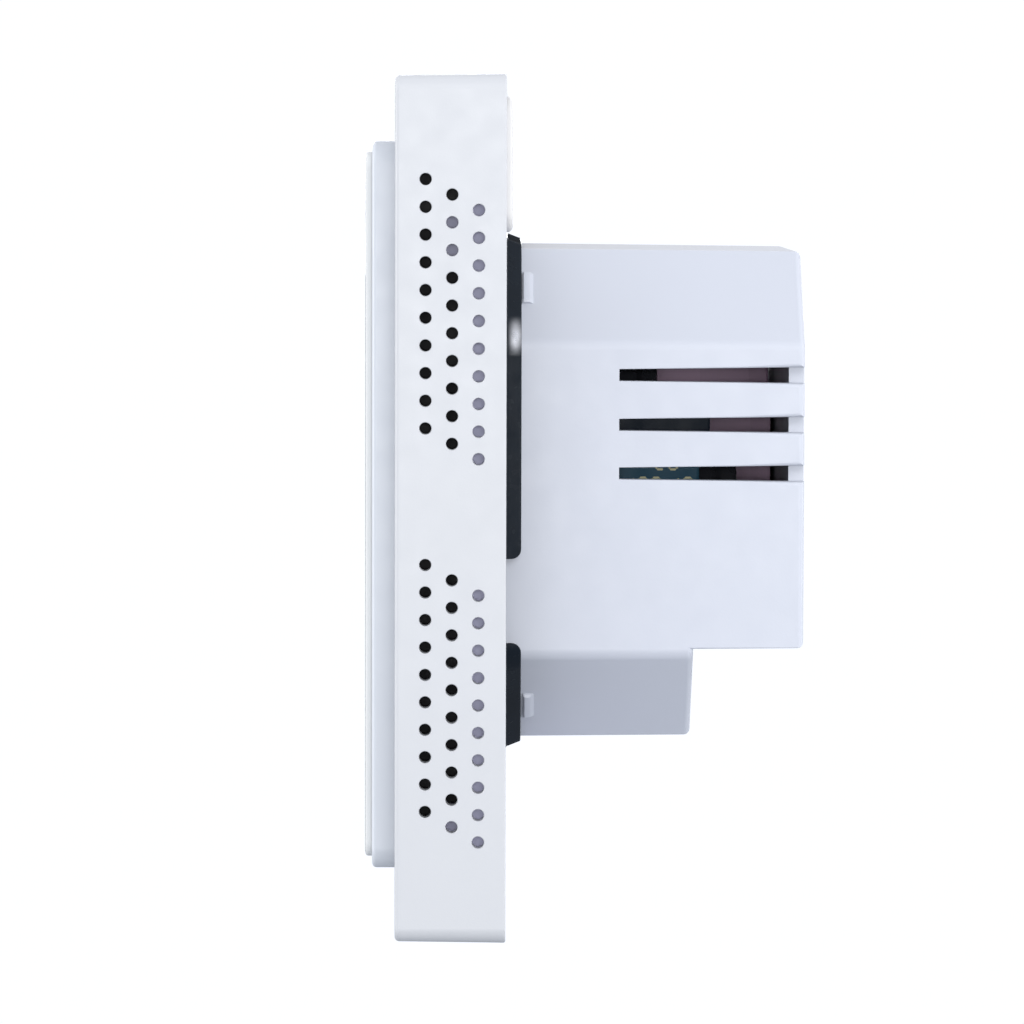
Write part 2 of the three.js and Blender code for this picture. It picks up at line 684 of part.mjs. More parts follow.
function filmCapacitor() {
  const { xLow, xHigh, zLow, zHigh, back } = FILM_CAPACITOR;
  return box(xLow, xHigh, PARTS_SEAT, back, zLow, zHigh);
}

// An upright can with a sleeve and the groove that its seal is crimped with.
function canCapacitor(x, z, radius, back) {
  const groove = { at: back - 2.2, half: 0.6, depth: 0.35 };
  const lip = 0.5;
  const can = turned([
    [0, PARTS_SEAT], [radius, PARTS_SEAT], [radius, groove.at - groove.half],
    [radius - groove.depth, groove.at], [radius, groove.at + groove.half],
    [radius, back - lip], [radius - lip, back], [0, back],
  ], 16);
  return can.translate([x, 0, z]);
}

const TRANSFORMER = {
  x: -12.5, halfWidth: 9.5, zLow: -6, zHigh: 14.8, coreInset: 5.5, front: 5.6, back: 28.4,
  yoke: 2.8, sideLeg: 2.4, centreLeg: 2.8, gap: 0.2,
};

function transformerCore() {
  const { x, halfWidth, zLow, zHigh, coreInset, front, back, yoke, sideLeg, centreLeg } = TRANSFORMER;
  const windowTool = (xLow, xHigh) => box(xLow, xHigh, front + yoke, back - yoke, zLow, zHigh);
  return cut(
    box(x - halfWidth, x + halfWidth, front, back, zLow + coreInset, zHigh - coreInset),
    windowTool(x - halfWidth + sideLeg, x - centreLeg),
    windowTool(x + centreLeg, x + halfWidth - sideLeg),
  );
}

function transformerWinding() {
  const { x, halfWidth, zLow, zHigh, coreInset, front, back, yoke, sideLeg, centreLeg, gap } = TRANSFORMER;
  const half = halfWidth - sideLeg - gap;
  const passage = centreLeg + gap;
  const yLow = front + yoke + gap;
  const yHigh = back - yoke - gap;
  return cut(
    box(x - half, x + half, yLow, yHigh, zLow, zHigh),
    box(x - passage, x + passage, yLow - PAST, yHigh + PAST, zLow + coreInset - gap, zHigh - coreInset + gap),
  );
}

const FUSE = { halfLength: 7, capLength: 2, capRadius: 1.7, tubeRadius: 1.45, x: -12, z: -9.8 };

function fuse() {
  const { halfLength, capLength, capRadius, tubeRadius } = FUSE;
  const capEnd = halfLength - capLength;
  const body = turned([
    [0, -halfLength], [capRadius, -halfLength], [capRadius, -capEnd], [tubeRadius, -capEnd],
    [tubeRadius, capEnd], [capRadius, capEnd], [capRadius, halfLength], [0, halfLength],
  ], 12);
  return body.rotate([0, 0, 90]).translate([FUSE.x, PARTS_SEAT + capRadius + SEAT, FUSE.z]);
}

const VARISTOR = {
  radius: 5, thickness: 3.8, edge: 0.5, standoff: 6.6, x: -4, z: 18.4, leg: 2.5, legHalf: 0.3,
};

function varistor() {
  const { radius, thickness, edge, standoff, leg, legHalf } = VARISTOR;
  const half = thickness / 2;
  const disc = turned([
    [0, -half], [radius - edge, -half], [radius, edge - half],
    [radius, half - edge], [radius - edge, half], [0, half],
  ], 16).rotate([90, 0, 0]);
  const legs = [-leg, leg].map((x) => box(x - legHalf, x + legHalf, -standoff, -leg, -legHalf, legHalf));
  return join(disc, ...legs).translate([VARISTOR.x, PARTS_SEAT + standoff, VARISTOR.z]);
}

const RECTIFIER = { xLow: 2, xHigh: 8, zLow: -12.2, zHigh: -7.8, back: 7.6 };

function rectifier() {
  const { xLow, xHigh, zLow, zHigh, back } = RECTIFIER;
  return box(xLow, xHigh, PARTS_SEAT, back, zLow, zHigh);
}

// ---------------------------------------------------------------- terminals

const CHAMBER = { halfWidth: CAGE.halfWidth + RUNNING, low: -24, high: -16.9, front: 5, back: 15.2 };
const BAR = { halfWidth: 1.1, thickness: 0.8, low: -22.4 };

function terminalBlock() {
  const endWall = 0.4;
  const halfWidth = terminalCentres()[TERMINAL.count - 1] + CHAMBER.halfWidth + endWall;
  const back = STEP.depth - HOUSING.wall - SEAT;
  const blockLow = -23.4;
  const blockHigh = -15.4;
  const headRoom = 2.15;
  const barRoof = CHAMBER.high + BAR.thickness + 0.2;
  let body = box(-halfWidth, halfWidth, PARTS_SEAT, back, blockLow, blockHigh);
  for (const x of terminalCentres()) {
    const chamber = box(
      x - CHAMBER.halfWidth, x + CHAMBER.halfWidth, CHAMBER.front, CHAMBER.back,
      CHAMBER.low - PAST, CHAMBER.high,
    );
    const driverHole = rod(x, TERMINAL.z, headRoom, CHAMBER.back - PAST, back + PAST);
    const barSlot = box(
      x - BAR.halfWidth - 0.2, x + BAR.halfWidth + 0.2, PARTS_SEAT - PAST,
      TERMINAL.tongue + BAR.thickness + RUNNING, CHAMBER.high - PAST, barRoof,
    );
    body = cut(body, chamber, driverHole, barSlot);
  }
  return body;
}

// An angled strip from the board to the clamp; the wire is gripped against its tongue.
function contactBar(x) {
  const back = TERMINAL.tongue + BAR.thickness;
  const top = CHAMBER.high + BAR.thickness;
  const leg = box(x - BAR.halfWidth, x + BAR.halfWidth, PARTS_SEAT, back, CHAMBER.high, top);
  const tongue = box(x - BAR.halfWidth, x + BAR.halfWidth, TERMINAL.tongue, back, BAR.low, top);
  return join(leg, tongue);
}

const CLAMP = { shank: 1, head: 1.8, rim: 1.6, headDepth: 1.4, threadGap: 0.25 };

function clampScrew(x) {
  const tip = TERMINAL.tongue + BAR.thickness + RUNNING;
  const seat = TERMINAL.screwHead;
  const top = seat + CLAMP.headDepth;
  const screw = turned([
    [0, tip], [CLAMP.shank, tip], [CLAMP.shank, seat], [CLAMP.head, seat],
    [CLAMP.head, top - 0.2], [CLAMP.rim, top], [0, top],
  ], 12);
  return cut(screw, driverRecess(top, 0.7, 2.2, 0.3, false)).translate([x, 0, TERMINAL.z]);
}

function clampCage(x) {
  const { halfWidth, halfHeight, front, back, wall, nutWall, side } = CAGE;
  const z = TERMINAL.z;
  const innerHalf = halfWidth - side;
  const nutFront = back - nutWall;
  return cut(
    box(x - halfWidth, x + halfWidth, front, back, z - halfHeight, z + halfHeight),
    box(x - innerHalf, x + innerHalf, front + wall, nutFront, z - halfHeight - PAST, z + halfHeight + PAST),
    rod(x, z, CLAMP.shank + CLAMP.threadGap, nutFront - PAST, back + PAST, 10),
  );
}

// ---------------------------------------------------------------- assembly

const thermostat = new THREE.Group();
thermostat.name = 'wall_thermostat';
const frontUnit = new THREE.Group();
const rearUnit = new THREE.Group();
thermostat.add(frontUnit, rearUnit);

function place(group, name, solid, finish) {
  const mesh = new THREE.Mesh(geometryFromSolid(solid), finish);
  mesh.name = name;
  group.add(mesh);
}

function buildFrontUnit() {
  place(frontUnit, 'front_frame', frontFrame(), MATERIALS.white);
  place(frontUnit, 'display_shell', displayShell(), MATERIALS.shellWhite);
  place(frontUnit, 'front_glass', frontGlass(), MATERIALS.glass);
  place(frontUnit, 'lcd_panel', lcdPanel(), MATERIALS.lcd);
  place(frontUnit, 'light_guide', lightGuide(), MATERIALS.diffuser);
  place(frontUnit, 'touch_film', touchFilm(), MATERIALS.film);
  place(frontUnit, 'display_board', displayBoard(), MATERIALS.board);
  place(frontUnit, 'control_chip', controlChip(), MATERIALS.chip);
  place(frontUnit, 'cell_holder', cellHolder(), MATERIALS.blackPlastic);
  place(frontUnit, 'backup_cell', backupCell(), MATERIALS.steel);
  place(frontUnit, 'air_sensor', airSensor(), MATERIALS.chip);
  place(frontUnit, 'pin_header', pinHeader(), MATERIALS.brass);
  place(frontUnit, 'inner_chassis', innerChassis(), MATERIALS.blackPlastic);
  let number = 0;
  for (const x of [-BOARD_SCREW, BOARD_SCREW]) {
    for (const z of [-BOARD_SCREW, BOARD_SCREW]) {
      number += 1;
      place(frontUnit, `board_screw_${number}`, boardScrew(x, z), MATERIALS.steel);
    }
  }
}

function buildRelay() {
  place(rearUnit, 'relay_base', relayBase(), MATERIALS.blackPlastic);
  place(rearUnit, 'relay_case', relayCase(), MATERIALS.blackPlastic);
  place(rearUnit, 'relay_coil', relayCoil(), MATERIALS.copper);
  place(rearUnit, 'relay_yoke', relayYoke(), MATERIALS.steel);
  place(rearUnit, 'relay_armature', relayArmature(), MATERIALS.steel);
  place(rearUnit, 'relay_contact', relayContact(), MATERIALS.brass);
}

function buildTerminals() {
  place(rearUnit, 'terminal_block', terminalBlock(), MATERIALS.terminalGreen);
  terminalCentres().forEach((x, i) => {
    place(rearUnit, `contact_bar_${i + 1}`, contactBar(x), MATERIALS.brass);
    place(rearUnit, `clamp_screw_${i + 1}`, clampScrew(x), MATERIALS.steel);
    place(rearUnit, `clamp_cage_${i + 1}`, clampCage(x), MATERIALS.steel);
  });
}

function buildRearUnit() {
  place(rearUnit, 'base_plate', basePlate(), MATERIALS.white);
  place(rearUnit, 'mounting_plate', mountingPlate(), MATERIALS.blackSteel);
  place(rearUnit, 'rear_housing', rearHousing(), MATERIALS.white);
  place(rearUnit, 'power_board', powerBoard(), MATERIALS.board);
  place(rearUnit, 'pin_socket', pinSocket(), MATERIALS.blackPlastic);
  POSTS.forEach(([x, z], i) => {
    place(rearUnit, `assembly_screw_${i + 1}`, assemblyScrew(x, z), MATERIALS.steel);
  });
  place(rearUnit, 'film_capacitor', filmCapacitor(), MATERIALS.teal);
  place(rearUnit, 'bulk_capacitor', canCapacitor(5.2, -0.8, 4.7, 24.2), MATERIALS.blackSleeve);
  place(rearUnit, 'output_capacitor', canCapacitor(2, 9.8, 3.1, 16), MATERIALS.blackSleeve);
  place(rearUnit, 'transformer_core', transformerCore(), MATERIALS.ferrite);
  place(rearUnit, 'transformer_winding', transformerWinding(), MATERIALS.tape);
  place(rearUnit, 'fuse', fuse(), MATERIALS.ceramic);
  place(rearUnit, 'varistor', varistor(), MATERIALS.varistorBlue);
  place(rearUnit, 'rectifier', rectifier(), MATERIALS.chip);
}

buildFrontUnit();
buildRearUnit();
buildRelay();
buildTerminals();

export default thermostat;
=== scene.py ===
"""The looks of a flush wall thermostat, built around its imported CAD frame.

The helpers work in millimetres in the frame's axes: X to the right seen from the front,
Y into the wall, Z up. Meshes are written in metres.
"""

import math

import bmesh
import bpy
from mathutils import Matrix, Vector


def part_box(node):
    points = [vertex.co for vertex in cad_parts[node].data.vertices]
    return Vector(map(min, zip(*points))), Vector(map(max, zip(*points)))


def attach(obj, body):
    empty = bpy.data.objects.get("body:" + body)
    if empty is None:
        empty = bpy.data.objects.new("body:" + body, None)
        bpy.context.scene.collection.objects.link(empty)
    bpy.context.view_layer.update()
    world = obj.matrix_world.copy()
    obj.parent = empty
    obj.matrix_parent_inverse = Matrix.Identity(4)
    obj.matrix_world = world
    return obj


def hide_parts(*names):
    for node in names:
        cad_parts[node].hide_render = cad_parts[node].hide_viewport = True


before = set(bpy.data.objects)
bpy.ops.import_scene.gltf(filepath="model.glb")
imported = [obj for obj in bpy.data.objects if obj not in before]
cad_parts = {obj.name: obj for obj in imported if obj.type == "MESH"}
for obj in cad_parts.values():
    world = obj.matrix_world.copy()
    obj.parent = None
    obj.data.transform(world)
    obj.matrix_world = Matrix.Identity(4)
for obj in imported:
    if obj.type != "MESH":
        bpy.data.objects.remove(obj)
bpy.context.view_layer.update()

MM = 0.001
FRONT = "front_unit"
WALL = "wall_unit"


# -------------------- frame sizes


def node_box(node):
    """A CAD node's lowest and highest corner in millimetres."""
    low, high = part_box(node)
    return low / MM, high / MM


FRAME_LOW, FRAME_HIGH = node_box("front_frame")
SHELL_LOW, SHELL_HIGH = node_box("display_shell")
GLASS_LOW, GLASS_HIGH = node_box("front_glass")
LCD_LOW, LCD_HIGH = node_box("lcd_panel")
CHASSIS_LOW, CHASSIS_HIGH = node_box("inner_chassis")
BASE_HIGH = node_box("base_plate")[1]
PLATE_LOW, PLATE_HIGH = node_box("mounting_plate")
HOUSING_LOW, HOUSING_HIGH = node_box("rear_housing")

FRAME_HALF = FRAME_HIGH.x
FRAME_FRONT = FRAME_LOW.y
FRAME_WALL = 1.8
FRAME_DRAFT = 0.13

VENT_RADIUS = 0.6
VENT_PITCH = 2.722
VENT_ROWS = 10
VENT_COLUMNS = 3
VENT_COLUMN_PITCH = 2.621
VENT_STAGGER = 1.515
VENT_FIRST_COLUMN = -7.98
VENT_HIGHEST = 32.7
VENT_LOWEST = -32.81

HOUSING_HALF = HOUSING_HIGH.x
HOUSING_TOP_HALF = 15.5
HOUSING_SIDE_TOP = 16.0
HOUSING_WALL = 1.5
HOUSING_DRAFT = 0.3
HOUSING_BACK = 30.4
STEP_DEPTH = 19.15
STEP_BOTTOM = -15.42
SLOT_CENTRES = (12.76, 7.7, 2.73)
SLOT_FROM = 11.5
SLOT_HALF_FRONT = 0.6
SLOT_HALF_BACK = 0.81
SLOT_INNER_END = 23.3

BOARD_SCREW = 27.3
POSTS = ((13.0, 21.2), (-13.0, 21.2), (20.8, -14.5), (-20.8, -14.5))
TERMINAL_COUNT = 6
TERMINAL_PITCH = 4.7
TERMINAL_Z = -19.6
HOOK_CENTRES = (27.2, -32.2)
HOOK_HALF = 2.8
BOX_SCREW_X = 30.0
PINS_Z = -19.0


# -------------------- outlines


def quarter_turn(steps):
    """Angles from 0 to 90 degrees in equal steps."""
    return [math.pi / 2 * i / steps for i in range(steps + 1)]


def mirrored(points):
    """The right side's points and their mirror images on the left, as one outline."""
    return points + [(-x, z) for x, z in reversed(points)]


def rounded_polygon(corners, rounding, steps=6):
    """An outline of (x, z) points with rounded corners, anticlockwise; one radius or one each."""
    points = []
    count = len(corners)
    radii = rounding if isinstance(rounding, (list, tuple)) else [rounding] * count
    for i, (corner, radius) in enumerate(zip(corners, radii)):
        here = Vector(corner)
        before = (Vector(corners[i - 1]) - here).normalized()
        after = (Vector(corners[(i + 1) % count]) - here).normalized()
        half_angle = before.angle(after) / 2
        reach = radius / math.tan(half_angle)
        centre = here + (before + after).normalized() * (radius / math.sin(half_angle))
        start = here + before * reach - centre
        sweep = math.pi - 2 * half_angle
        for k in range(steps + 1):
            spoke = Matrix.Rotation(sweep * k / steps, 2) @ start
            points.append(tuple(centre + spoke))
    return points


def rounded_rect(half_width, half_height, radius, steps=6, centre=(0.0, 0.0)):
    x, z = centre
    left, right = x - half_width, x + half_width
    bottom, top = z - half_height, z + half_height
    return rounded_polygon([(right, bottom), (right, top), (left, top), (left, bottom)], radius, steps)


def square_outline(half, radius, steps=6):
    """A function that gives a rounded square, moved inward by its argument."""
    return lambda inset: rounded_rect(half - inset, half - inset, max(radius - inset, 0.05), steps)


def rect_outline(low, high, radius, steps=4):
    """The same for a rectangle between two corners' X and Z."""
    centre = ((low[0] + high[0]) / 2, (low[1] + high[1]) / 2)
    half = ((high[0] - low[0]) / 2, (high[1] - low[1]) / 2)
    return lambda inset: rounded_rect(
        half[0] - inset, half[1] - inset, max(radius - inset, 0.02), steps, centre
    )


def octagon_corners(inset):
    """The housing's full eight-sided outline."""
    half = HOUSING_HALF - inset
    trim = inset * math.tan(math.pi / 8)
    top_half = HOUSING_TOP_HALF - trim
    side = HOUSING_SIDE_TOP - trim
    return mirrored(
        [(top_half, HOUSING_LOW.z + inset), (half, -side), (half, side), (top_half, HOUSING_HIGH.z - inset)]
    )


def deep_box_corners(inset):
    """The outline of the deep part, whose bottom is cut off flat above the terminals."""
    half = HOUSING_HALF - inset
    trim = inset * math.tan(math.pi / 8)
    top = (HOUSING_TOP_HALF - trim, HOUSING_HIGH.z - inset)
    return mirrored([(half, STEP_BOTTOM + inset), (half, HOUSING_SIDE_TOP - trim), top])


EDGE = 0.4
SOFT = 1.8
OCTAGON_RADII = (EDGE, SOFT, SOFT, EDGE) * 2
DEEP_BOX_RADII = (EDGE, SOFT, EDGE) * 2


def housing_outline(corners, radii, base=0.0):
    """Outlines that follow the housing, whose side corners are rounder than the others."""

    def outline(inset):
        rounding = [max(radius - base - inset, 0.05) for radius in radii]
        return rounded_polygon(corners(base + inset), rounding, 6)

    return outline


# -------------------- mesh building


def mesh_object(name, bm):
    bmesh.ops.recalc_face_normals(bm, faces=bm.faces)
    mesh = bpy.data.meshes.new(name)
    bm.to_mesh(mesh)
    bm.free()
    made = bpy.data.objects.new(name, mesh)
    bpy.context.scene.collection.objects.link(made)
    return made


def loft(name, rings):
    """A closed solid through outlines given as (y, points) at rising Y."""
    bm = bmesh.new()
    loops = [[bm.verts.new((x * MM, y * MM, z * MM)) for x, z in points] for y, points in rings]
    count = len(loops[0])
    for lower, upper in zip(loops, loops[1:]):
        for i in range(count):
            j = (i + 1) % count
            bm.faces.new((lower[i], upper[i], upper[j], lower[j]))
    bm.faces.new(loops[0])
    bm.faces.new(list(reversed(loops[-1])))
    return mesh_object(name, bm)


def prism(name, outline, front, back, front_round=0.0, back_round=0.0, taper=(0.0, 0.0), steps=4):
    """A solid along Y with rounded front and back edges; taper is the inset at each end."""

    def ring(y, inset):
        share = (y - front) / (back - front)
        return y, outline(inset + taper[0] * (1 - share) + taper[1] * share)

    rings = []
    if front_round:
        for angle in quarter_turn(steps)[:-1]:
            y = front + front_round * (1 - math.cos(angle))
            rings.append(ring(y, front_round * (1 - math.sin(angle))))
    rings.append(ring(front + front_round, 0.0))
    rings.append(ring(back - back_round, 0.0))
    if back_round:
        for angle in quarter_turn(steps)[1:]:
            y = back - back_round * (1 - math.sin(angle))
            rings.append(ring(y, back_round * (1 - math.cos(angle))))
    return loft(name, rings)


def rounded_block(name, low, high, radius=0.2, steps=2):
    """A box between two corners with every edge rounded."""
    outline = rect_outline((low[0], low[2]), (high[0], high[2]), radius, steps + 1)
    return prism(name, outline, low[1], high[1], radius, radius, steps=steps)


def turned(name, profile, segments=32):
    """A turned solid along Y from (radius, y) points; its first and last radius are 0."""
    bm = bmesh.new()
    first = bm.verts.new((0, profile[0][1] * MM, 0))
    last = bm.verts.new((0, profile[-1][1] * MM, 0))
    rings = []
    for radius, y in profile[1:-1]:
        points = circle_outline(radius, segments)(0)
        rings.append([bm.verts.new((x * MM, y * MM, z * MM)) for x, z in points])
    for i in range(segments):
        j = (i + 1) % segments
        bm.faces.new((first, rings[0][i], rings[0][j]))
        bm.faces.new((last, rings[-1][j], rings[-1][i]))
        for lower, upper in zip(rings, rings[1:]):
            bm.faces.new((lower[i], upper[i], upper[j], lower[j]))
    return mesh_object(name, bm)


def rod(name, x, z, radius, low, high, chamfer=0.0):
    """A round bar along Y, with or without a chamfer at both ends."""
    if chamfer:
        face = radius - chamfer
        rim = [(face, low), (radius, low + chamfer), (radius, high - chamfer), (face, high)]
    else:
        rim = [(radius, low), (radius, high)]
    return moved(turned(name, [(0, low), *rim, (0, high)]), (x, 0, z))


def moved(made, offset, turn=None):
    """Moves a mesh's points, after an optional turning matrix."""
    matrix = Matrix.Translation(Vector(offset) * MM)
    if turn is not None:
        matrix = matrix @ turn.to_4x4()
    made.data.transform(matrix)
    return made


def facing(inward, up):
    """The turn that takes local +Y to inward and local +Z to up."""
    y_axis = Vector(inward)
    z_axis = Vector(up)
    x_axis = y_axis.cross(z_axis)
    return Matrix((x_axis, y_axis, z_axis)).transposed()


INTO_WALL = facing((0, 1, 0), (0, 0, 1))
OUT_OF_WALL = facing((0, -1, 0), (0, 0, 1))


def opening(name, outline, depth, flare, place, turn):
    """A cutter for a hole that starts at place, runs along the turned Y and has a small chamfer."""
    lead = 1.0
    wide = outline(-flare)
    narrow = outline(0.0)
    made = loft(name, [(-lead, wide), (0.0, wide), (flare, narrow), (depth, narrow)])
    return moved(made, place, turn)


def circle_outline(radius, segments=28):
    """The same kind of function as square_outline, for a circle."""

    def outline(inset):
        angles = [2 * math.pi * i / segments for i in range(segments)]
        return [((radius - inset) * math.cos(a), (radius - inset) * math.sin(a)) for a in angles]

    return outline


def joined(pieces):
    """One mesh object out of several, which share no space."""
    name = pieces[0].name
    bm = bmesh.new()
    for piece in pieces:
        bm.from_mesh(piece.data)
        bpy.data.meshes.remove(piece.data)
    return mesh_object(name, bm)


def settle(made):
    """Applies an object's modifiers to its mesh."""
    graph = bpy.context.evaluated_depsgraph_get()
    mesh = bpy.data.meshes.new_from_object(made.evaluated_get(graph), depsgraph=graph)
    made.modifiers.clear()
    old = made.data
    made.data = mesh
    bpy.data.meshes.remove(old)


def combine(made, tools, operation):
    """Cuts tools from a solid or joins them to it, one after the other."""
    for tool in tools:
        change = made.modifiers.new("change", "BOOLEAN")
        change.operation = operation
        change.solver = "MANIFOLD"
        change.object = tool
        settle(made)
        bpy.data.meshes.remove(tool.data)
    return made


def cut(made, *tools):
    return combine(made, tools, "DIFFERENCE")


def join(made, *tools):
    return combine(made, tools, "UNION")


def smooth(made, angle=32):
    """Smooth shading with sharp creases, weighted so that flat faces stay flat."""
    made.data.shade_smooth()
    made.data.set_sharp_from_angle(angle=math.radians(angle))
    normals = made.modifiers.new("normals", "WEIGHTED_NORMAL")
    normals.keep_sharp = True
    normals.weight = 80
    settle(made)


def place(made, material, body, node=None, slot=None, angle=32):
    """Finishes a piece: shading, material, the body it rides on and the CAD node it stands for."""
    smooth(made, angle)
    made.data.materials.clear()
    made.data.materials.append(material)
    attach(made, body)
    if node:
        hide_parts(node)


def refinish(made, material, chosen):
    """Gives a second material to the faces that chosen picks."""
    made.data.materials.append(material)
    for face in made.data.polygons:
        face.material_index = 1 if chosen(face) else 0


# -------------------- materials


class Shader:
    """A Principled material and the few node helpers that the finishes share."""

    def __init__(self, name, color, roughness, **inputs):
        self.material = bpy.data.materials.new(name)
        self.material.use_nodes = True
        self.tree = self.material.node_tree
        self.bsdf = self.tree.nodes["Principled BSDF"]
        self.bsdf.inputs["Base Color"].default_value = (*color, 1)
        self.bsdf.inputs["Roughness"].default_value = roughness
        for key, value in inputs.items():
            title = key.replace("_", " ").title().replace("Ior", "IOR")
            self.bsdf.inputs[title].default_value = value
        self.position = self.add("TexCoord").outputs["Object"]

    def add(self, kind, **inputs):
        """A new node; an underscore in an input's name stands for a space."""
        node = self.tree.nodes.new("ShaderNode" + kind)
        for key, value in inputs.items():
            node.inputs[key.replace("_", " ")].default_value = value
        return node

    def link(self, output, node, socket):
        self.tree.links.new(output, node.inputs[socket])

    def noise(self, scale, detail=2.0, stretch=None):
        node = self.add("TexNoise", Scale=scale, Detail=detail)
        source = self.position
        if stretch:
            mapping = self.add("Mapping", Scale=stretch)
            self.link(source, mapping, "Vector")
            source = mapping.outputs["Vector"]
        self.link(source, node, "Vector")
        return node.outputs["Fac"]

    def cells(self, scale):
        node = self.add("TexVoronoi", Scale=scale)
        self.link(self.position, node, "Vector")
        return node.outputs["Distance"]

    def calculate(self, operation, first, second):
        """A maths node's result for an output and either a number or another output."""
        node = self.add("Math")
        node.operation = operation
        self.link(first, node, 0)
        if isinstance(second, (int, float)):
            node.inputs[1].default_value = second
        else:
            self.link(second, node, 1)
        return node.outputs["Value"]

    def near(self, axis, place, reach):
        """1 at a place along an axis, fading to 0 at a distance of reach from it."""
        split = self.add("SeparateXYZ")
        self.link(self.position, split, "Vector")
        offset = self.calculate("SUBTRACT", split.outputs[axis], place)
        node = self.add("MapRange", From_Min=0, From_Max=reach, To_Min=1, To_Max=0)
        node.interpolation_type = "SMOOTHSTEP"
        self.link(self.calculate("ABSOLUTE", offset, 0), node, "Value")
        return node.outputs["Result"]

    def spread(self, value, low, high):
        """Takes the usual span of a noise value, 0.3 to 0.7, to low and high."""
        node = self.add("MapRange", From_Min=0.3, From_Max=0.7, To_Min=low, To_Max=high)
        self.link(value, node, "Value")
        return node.outputs["Result"]

    def mix(self, factor, first, second):
        """A colour between two, each a tuple or a node's output."""
        node = self.add("Mix")
        node.data_type = "RGBA"
        self.link(factor, node, "Factor")
        for socket, value in (("A", first), ("B", second)):
            slot = next(s for s in node.inputs if s.name == socket and s.type == "RGBA")
            if isinstance(value, tuple):
                slot.default_value = (*value, 1)
            else:
                self.tree.links.new(value, slot)
        return next(s for s in node.outputs if s.type == "RGBA")

    def paint(self, factor, first, second):
        """Base colour between two colours."""
        self.link(self.mix(factor, first, second), self.bsdf, "Base Color")

    def rough(self, value, low, high):
        self.link(self.spread(value, low, high), self.bsdf, "Roughness")

    def bump(self, height, strength, distance):
        """A bump on top of those already there."""
        node = self.add("Bump", Strength=strength, Distance=distance)
        self.link(height, node, "Height")
        normal = self.bsdf.inputs["Normal"]
        if normal.is_linked:
            self.link(normal.links[0].from_socket, node, "Normal")
        self.link(node.outputs["Normal"], self.bsdf, "Normal")


def shade(color, factor):
    return tuple(channel * factor for channel in color)


def moulded_plastic(name, color, roughness, grain=5200, depth=0.00002, variation=0.03, specular=0.5):
    """Satin moulded plastic: fine spark-eroded grain, faint cloudiness and uneven sheen."""
    shader = Shader(name, color, roughness, specular_ior_level=specular)
    shader.paint(shader.noise(55, 3), shade(color, 1 - variation), shade(color, 1 + variation * 0.5))
    shader.rough(shader.noise(420, 3), roughness - 0.05, roughness + 0.06)
    shader.bump(shader.noise(grain, 2), 0.25, depth)
    shader.bump(shader.noise(90, 1), 0.06, depth * 4)
    return shader.material


def coated_steel(name, color, roughness, specular, bend=None):
    """Coating over steel with a fine orange peel; a painted highlight of bright metal lies over a bend at one
    height.
    """
    shader = Shader(name, color, roughness, specular_ior_level=specular)
    coat = shader.mix(shader.noise(300, 3), shade(color, 0.75), shade(color, 1.4))
    if bend:
        # Painted highlight: a streaky band of bright metal over the bend stands in for a lamp's highlight
        # there.
        highlight_streaks = shader.spread(shader.noise(1500, 2, (1, 1, 0.1)), 0.75, 1.0)
        across = shader.near("Y", 0.00095, 0.0009)
        highlight_patch = shader.calculate("MULTIPLY", shader.near("Z", bend, 0.0021), across)
        painted_highlight = shader.calculate("MULTIPLY", highlight_patch, highlight_streaks)
        highlight_steel = (0.68, 0.69, 0.72)
        coat = shader.mix(painted_highlight, coat, highlight_steel)
        shader.link(painted_highlight, shader.bsdf, "Metallic")
    shader.link(coat, shader.bsdf, "Base Color")
    shader.rough(shader.noise(900, 2), roughness - 0.06, roughness + 0.08)
    shader.bump(shader.noise(1400, 1), 0.2, 0.00002)
    return shader.material


def plated_metal(name, color, roughness, stretch=(1, 12, 1)):
    """Plated metal with fine drawn lines and slightly uneven polish."""
    shader = Shader(name, color, roughness, metallic=1.0)
    lines = shader.noise(1800, 2, stretch)
    shader.paint(shader.noise(250, 2), shade(color, 0.86), shade(color, 1.08))
    shader.rough(lines, roughness - 0.08, roughness + 0.12)
    shader.bump(lines, 0.15, 0.00001)
    return shader.material


def circuit_board(name):
    """Green solder mask over copper: the tracks show as paler lines."""
    mask = (0.012, 0.12, 0.05)
    black = (0, 0, 0, 1)
    near_black = (0.1, 0.1, 0.1, 1)
    white = (1, 1, 1, 1)
    shader = Shader(name, mask, 0.35, coat_weight=0.3)
    brick = shader.add("TexBrick", Scale=260, Mortar_Size=0.09, Color1=black, Color2=near_black, Mortar=white)
    upright = shader.add("Mapping", Rotation=(math.pi / 2, 0, 0))
    shader.link(shader.position, upright, "Vector")
    shader.link(upright.outputs["Vector"], brick, "Vector")
    shader.paint(brick.outputs["Color"], mask, (0.03, 0.26, 0.1))
    shader.rough(shader.noise(700, 2), 0.28, 0.42)
    shader.bump(brick.outputs["Color"], 0.3, 0.00003)
    return shader.material


def cover_glass(name):
    """Clear cover glass with a faint green body colour and the finest surface waviness."""
    shader = Shader(name, (0.97, 0.985, 0.98), 0.02, transmission_weight=1.0, ior=1.5)
    shader.paint(shader.noise(40, 1), (0.96, 0.98, 0.975), (0.98, 0.99, 0.985))
    shader.bump(shader.noise(60, 0), 0.02, 0.00002)
    return shader.material


def printed_ink(name, color, roughness=0.5):
    """Screen print on the back of the glass: fine mesh texture and slight density changes."""
    shader = Shader(name, color, roughness)
    shader.paint(shader.noise(2600, 1), shade(color, 0.96), shade(color, 1.02))
    shader.bump(shader.cells(5200), 0.1, 0.00001)
    return shader.material


def lit_segment(name, color, strength):
    """A lit display segment, a little brighter in patches as the backlight is."""
    shader = Shader(name, color, 0.4, emission_strength=strength)
    glow = shader.mix(shader.noise(90, 1), shade(color, 0.85), color)
    shader.link(glow, shader.bsdf, "Base Color")
    shader.link(glow, shader.bsdf, "Emission Color")
    return shader.material


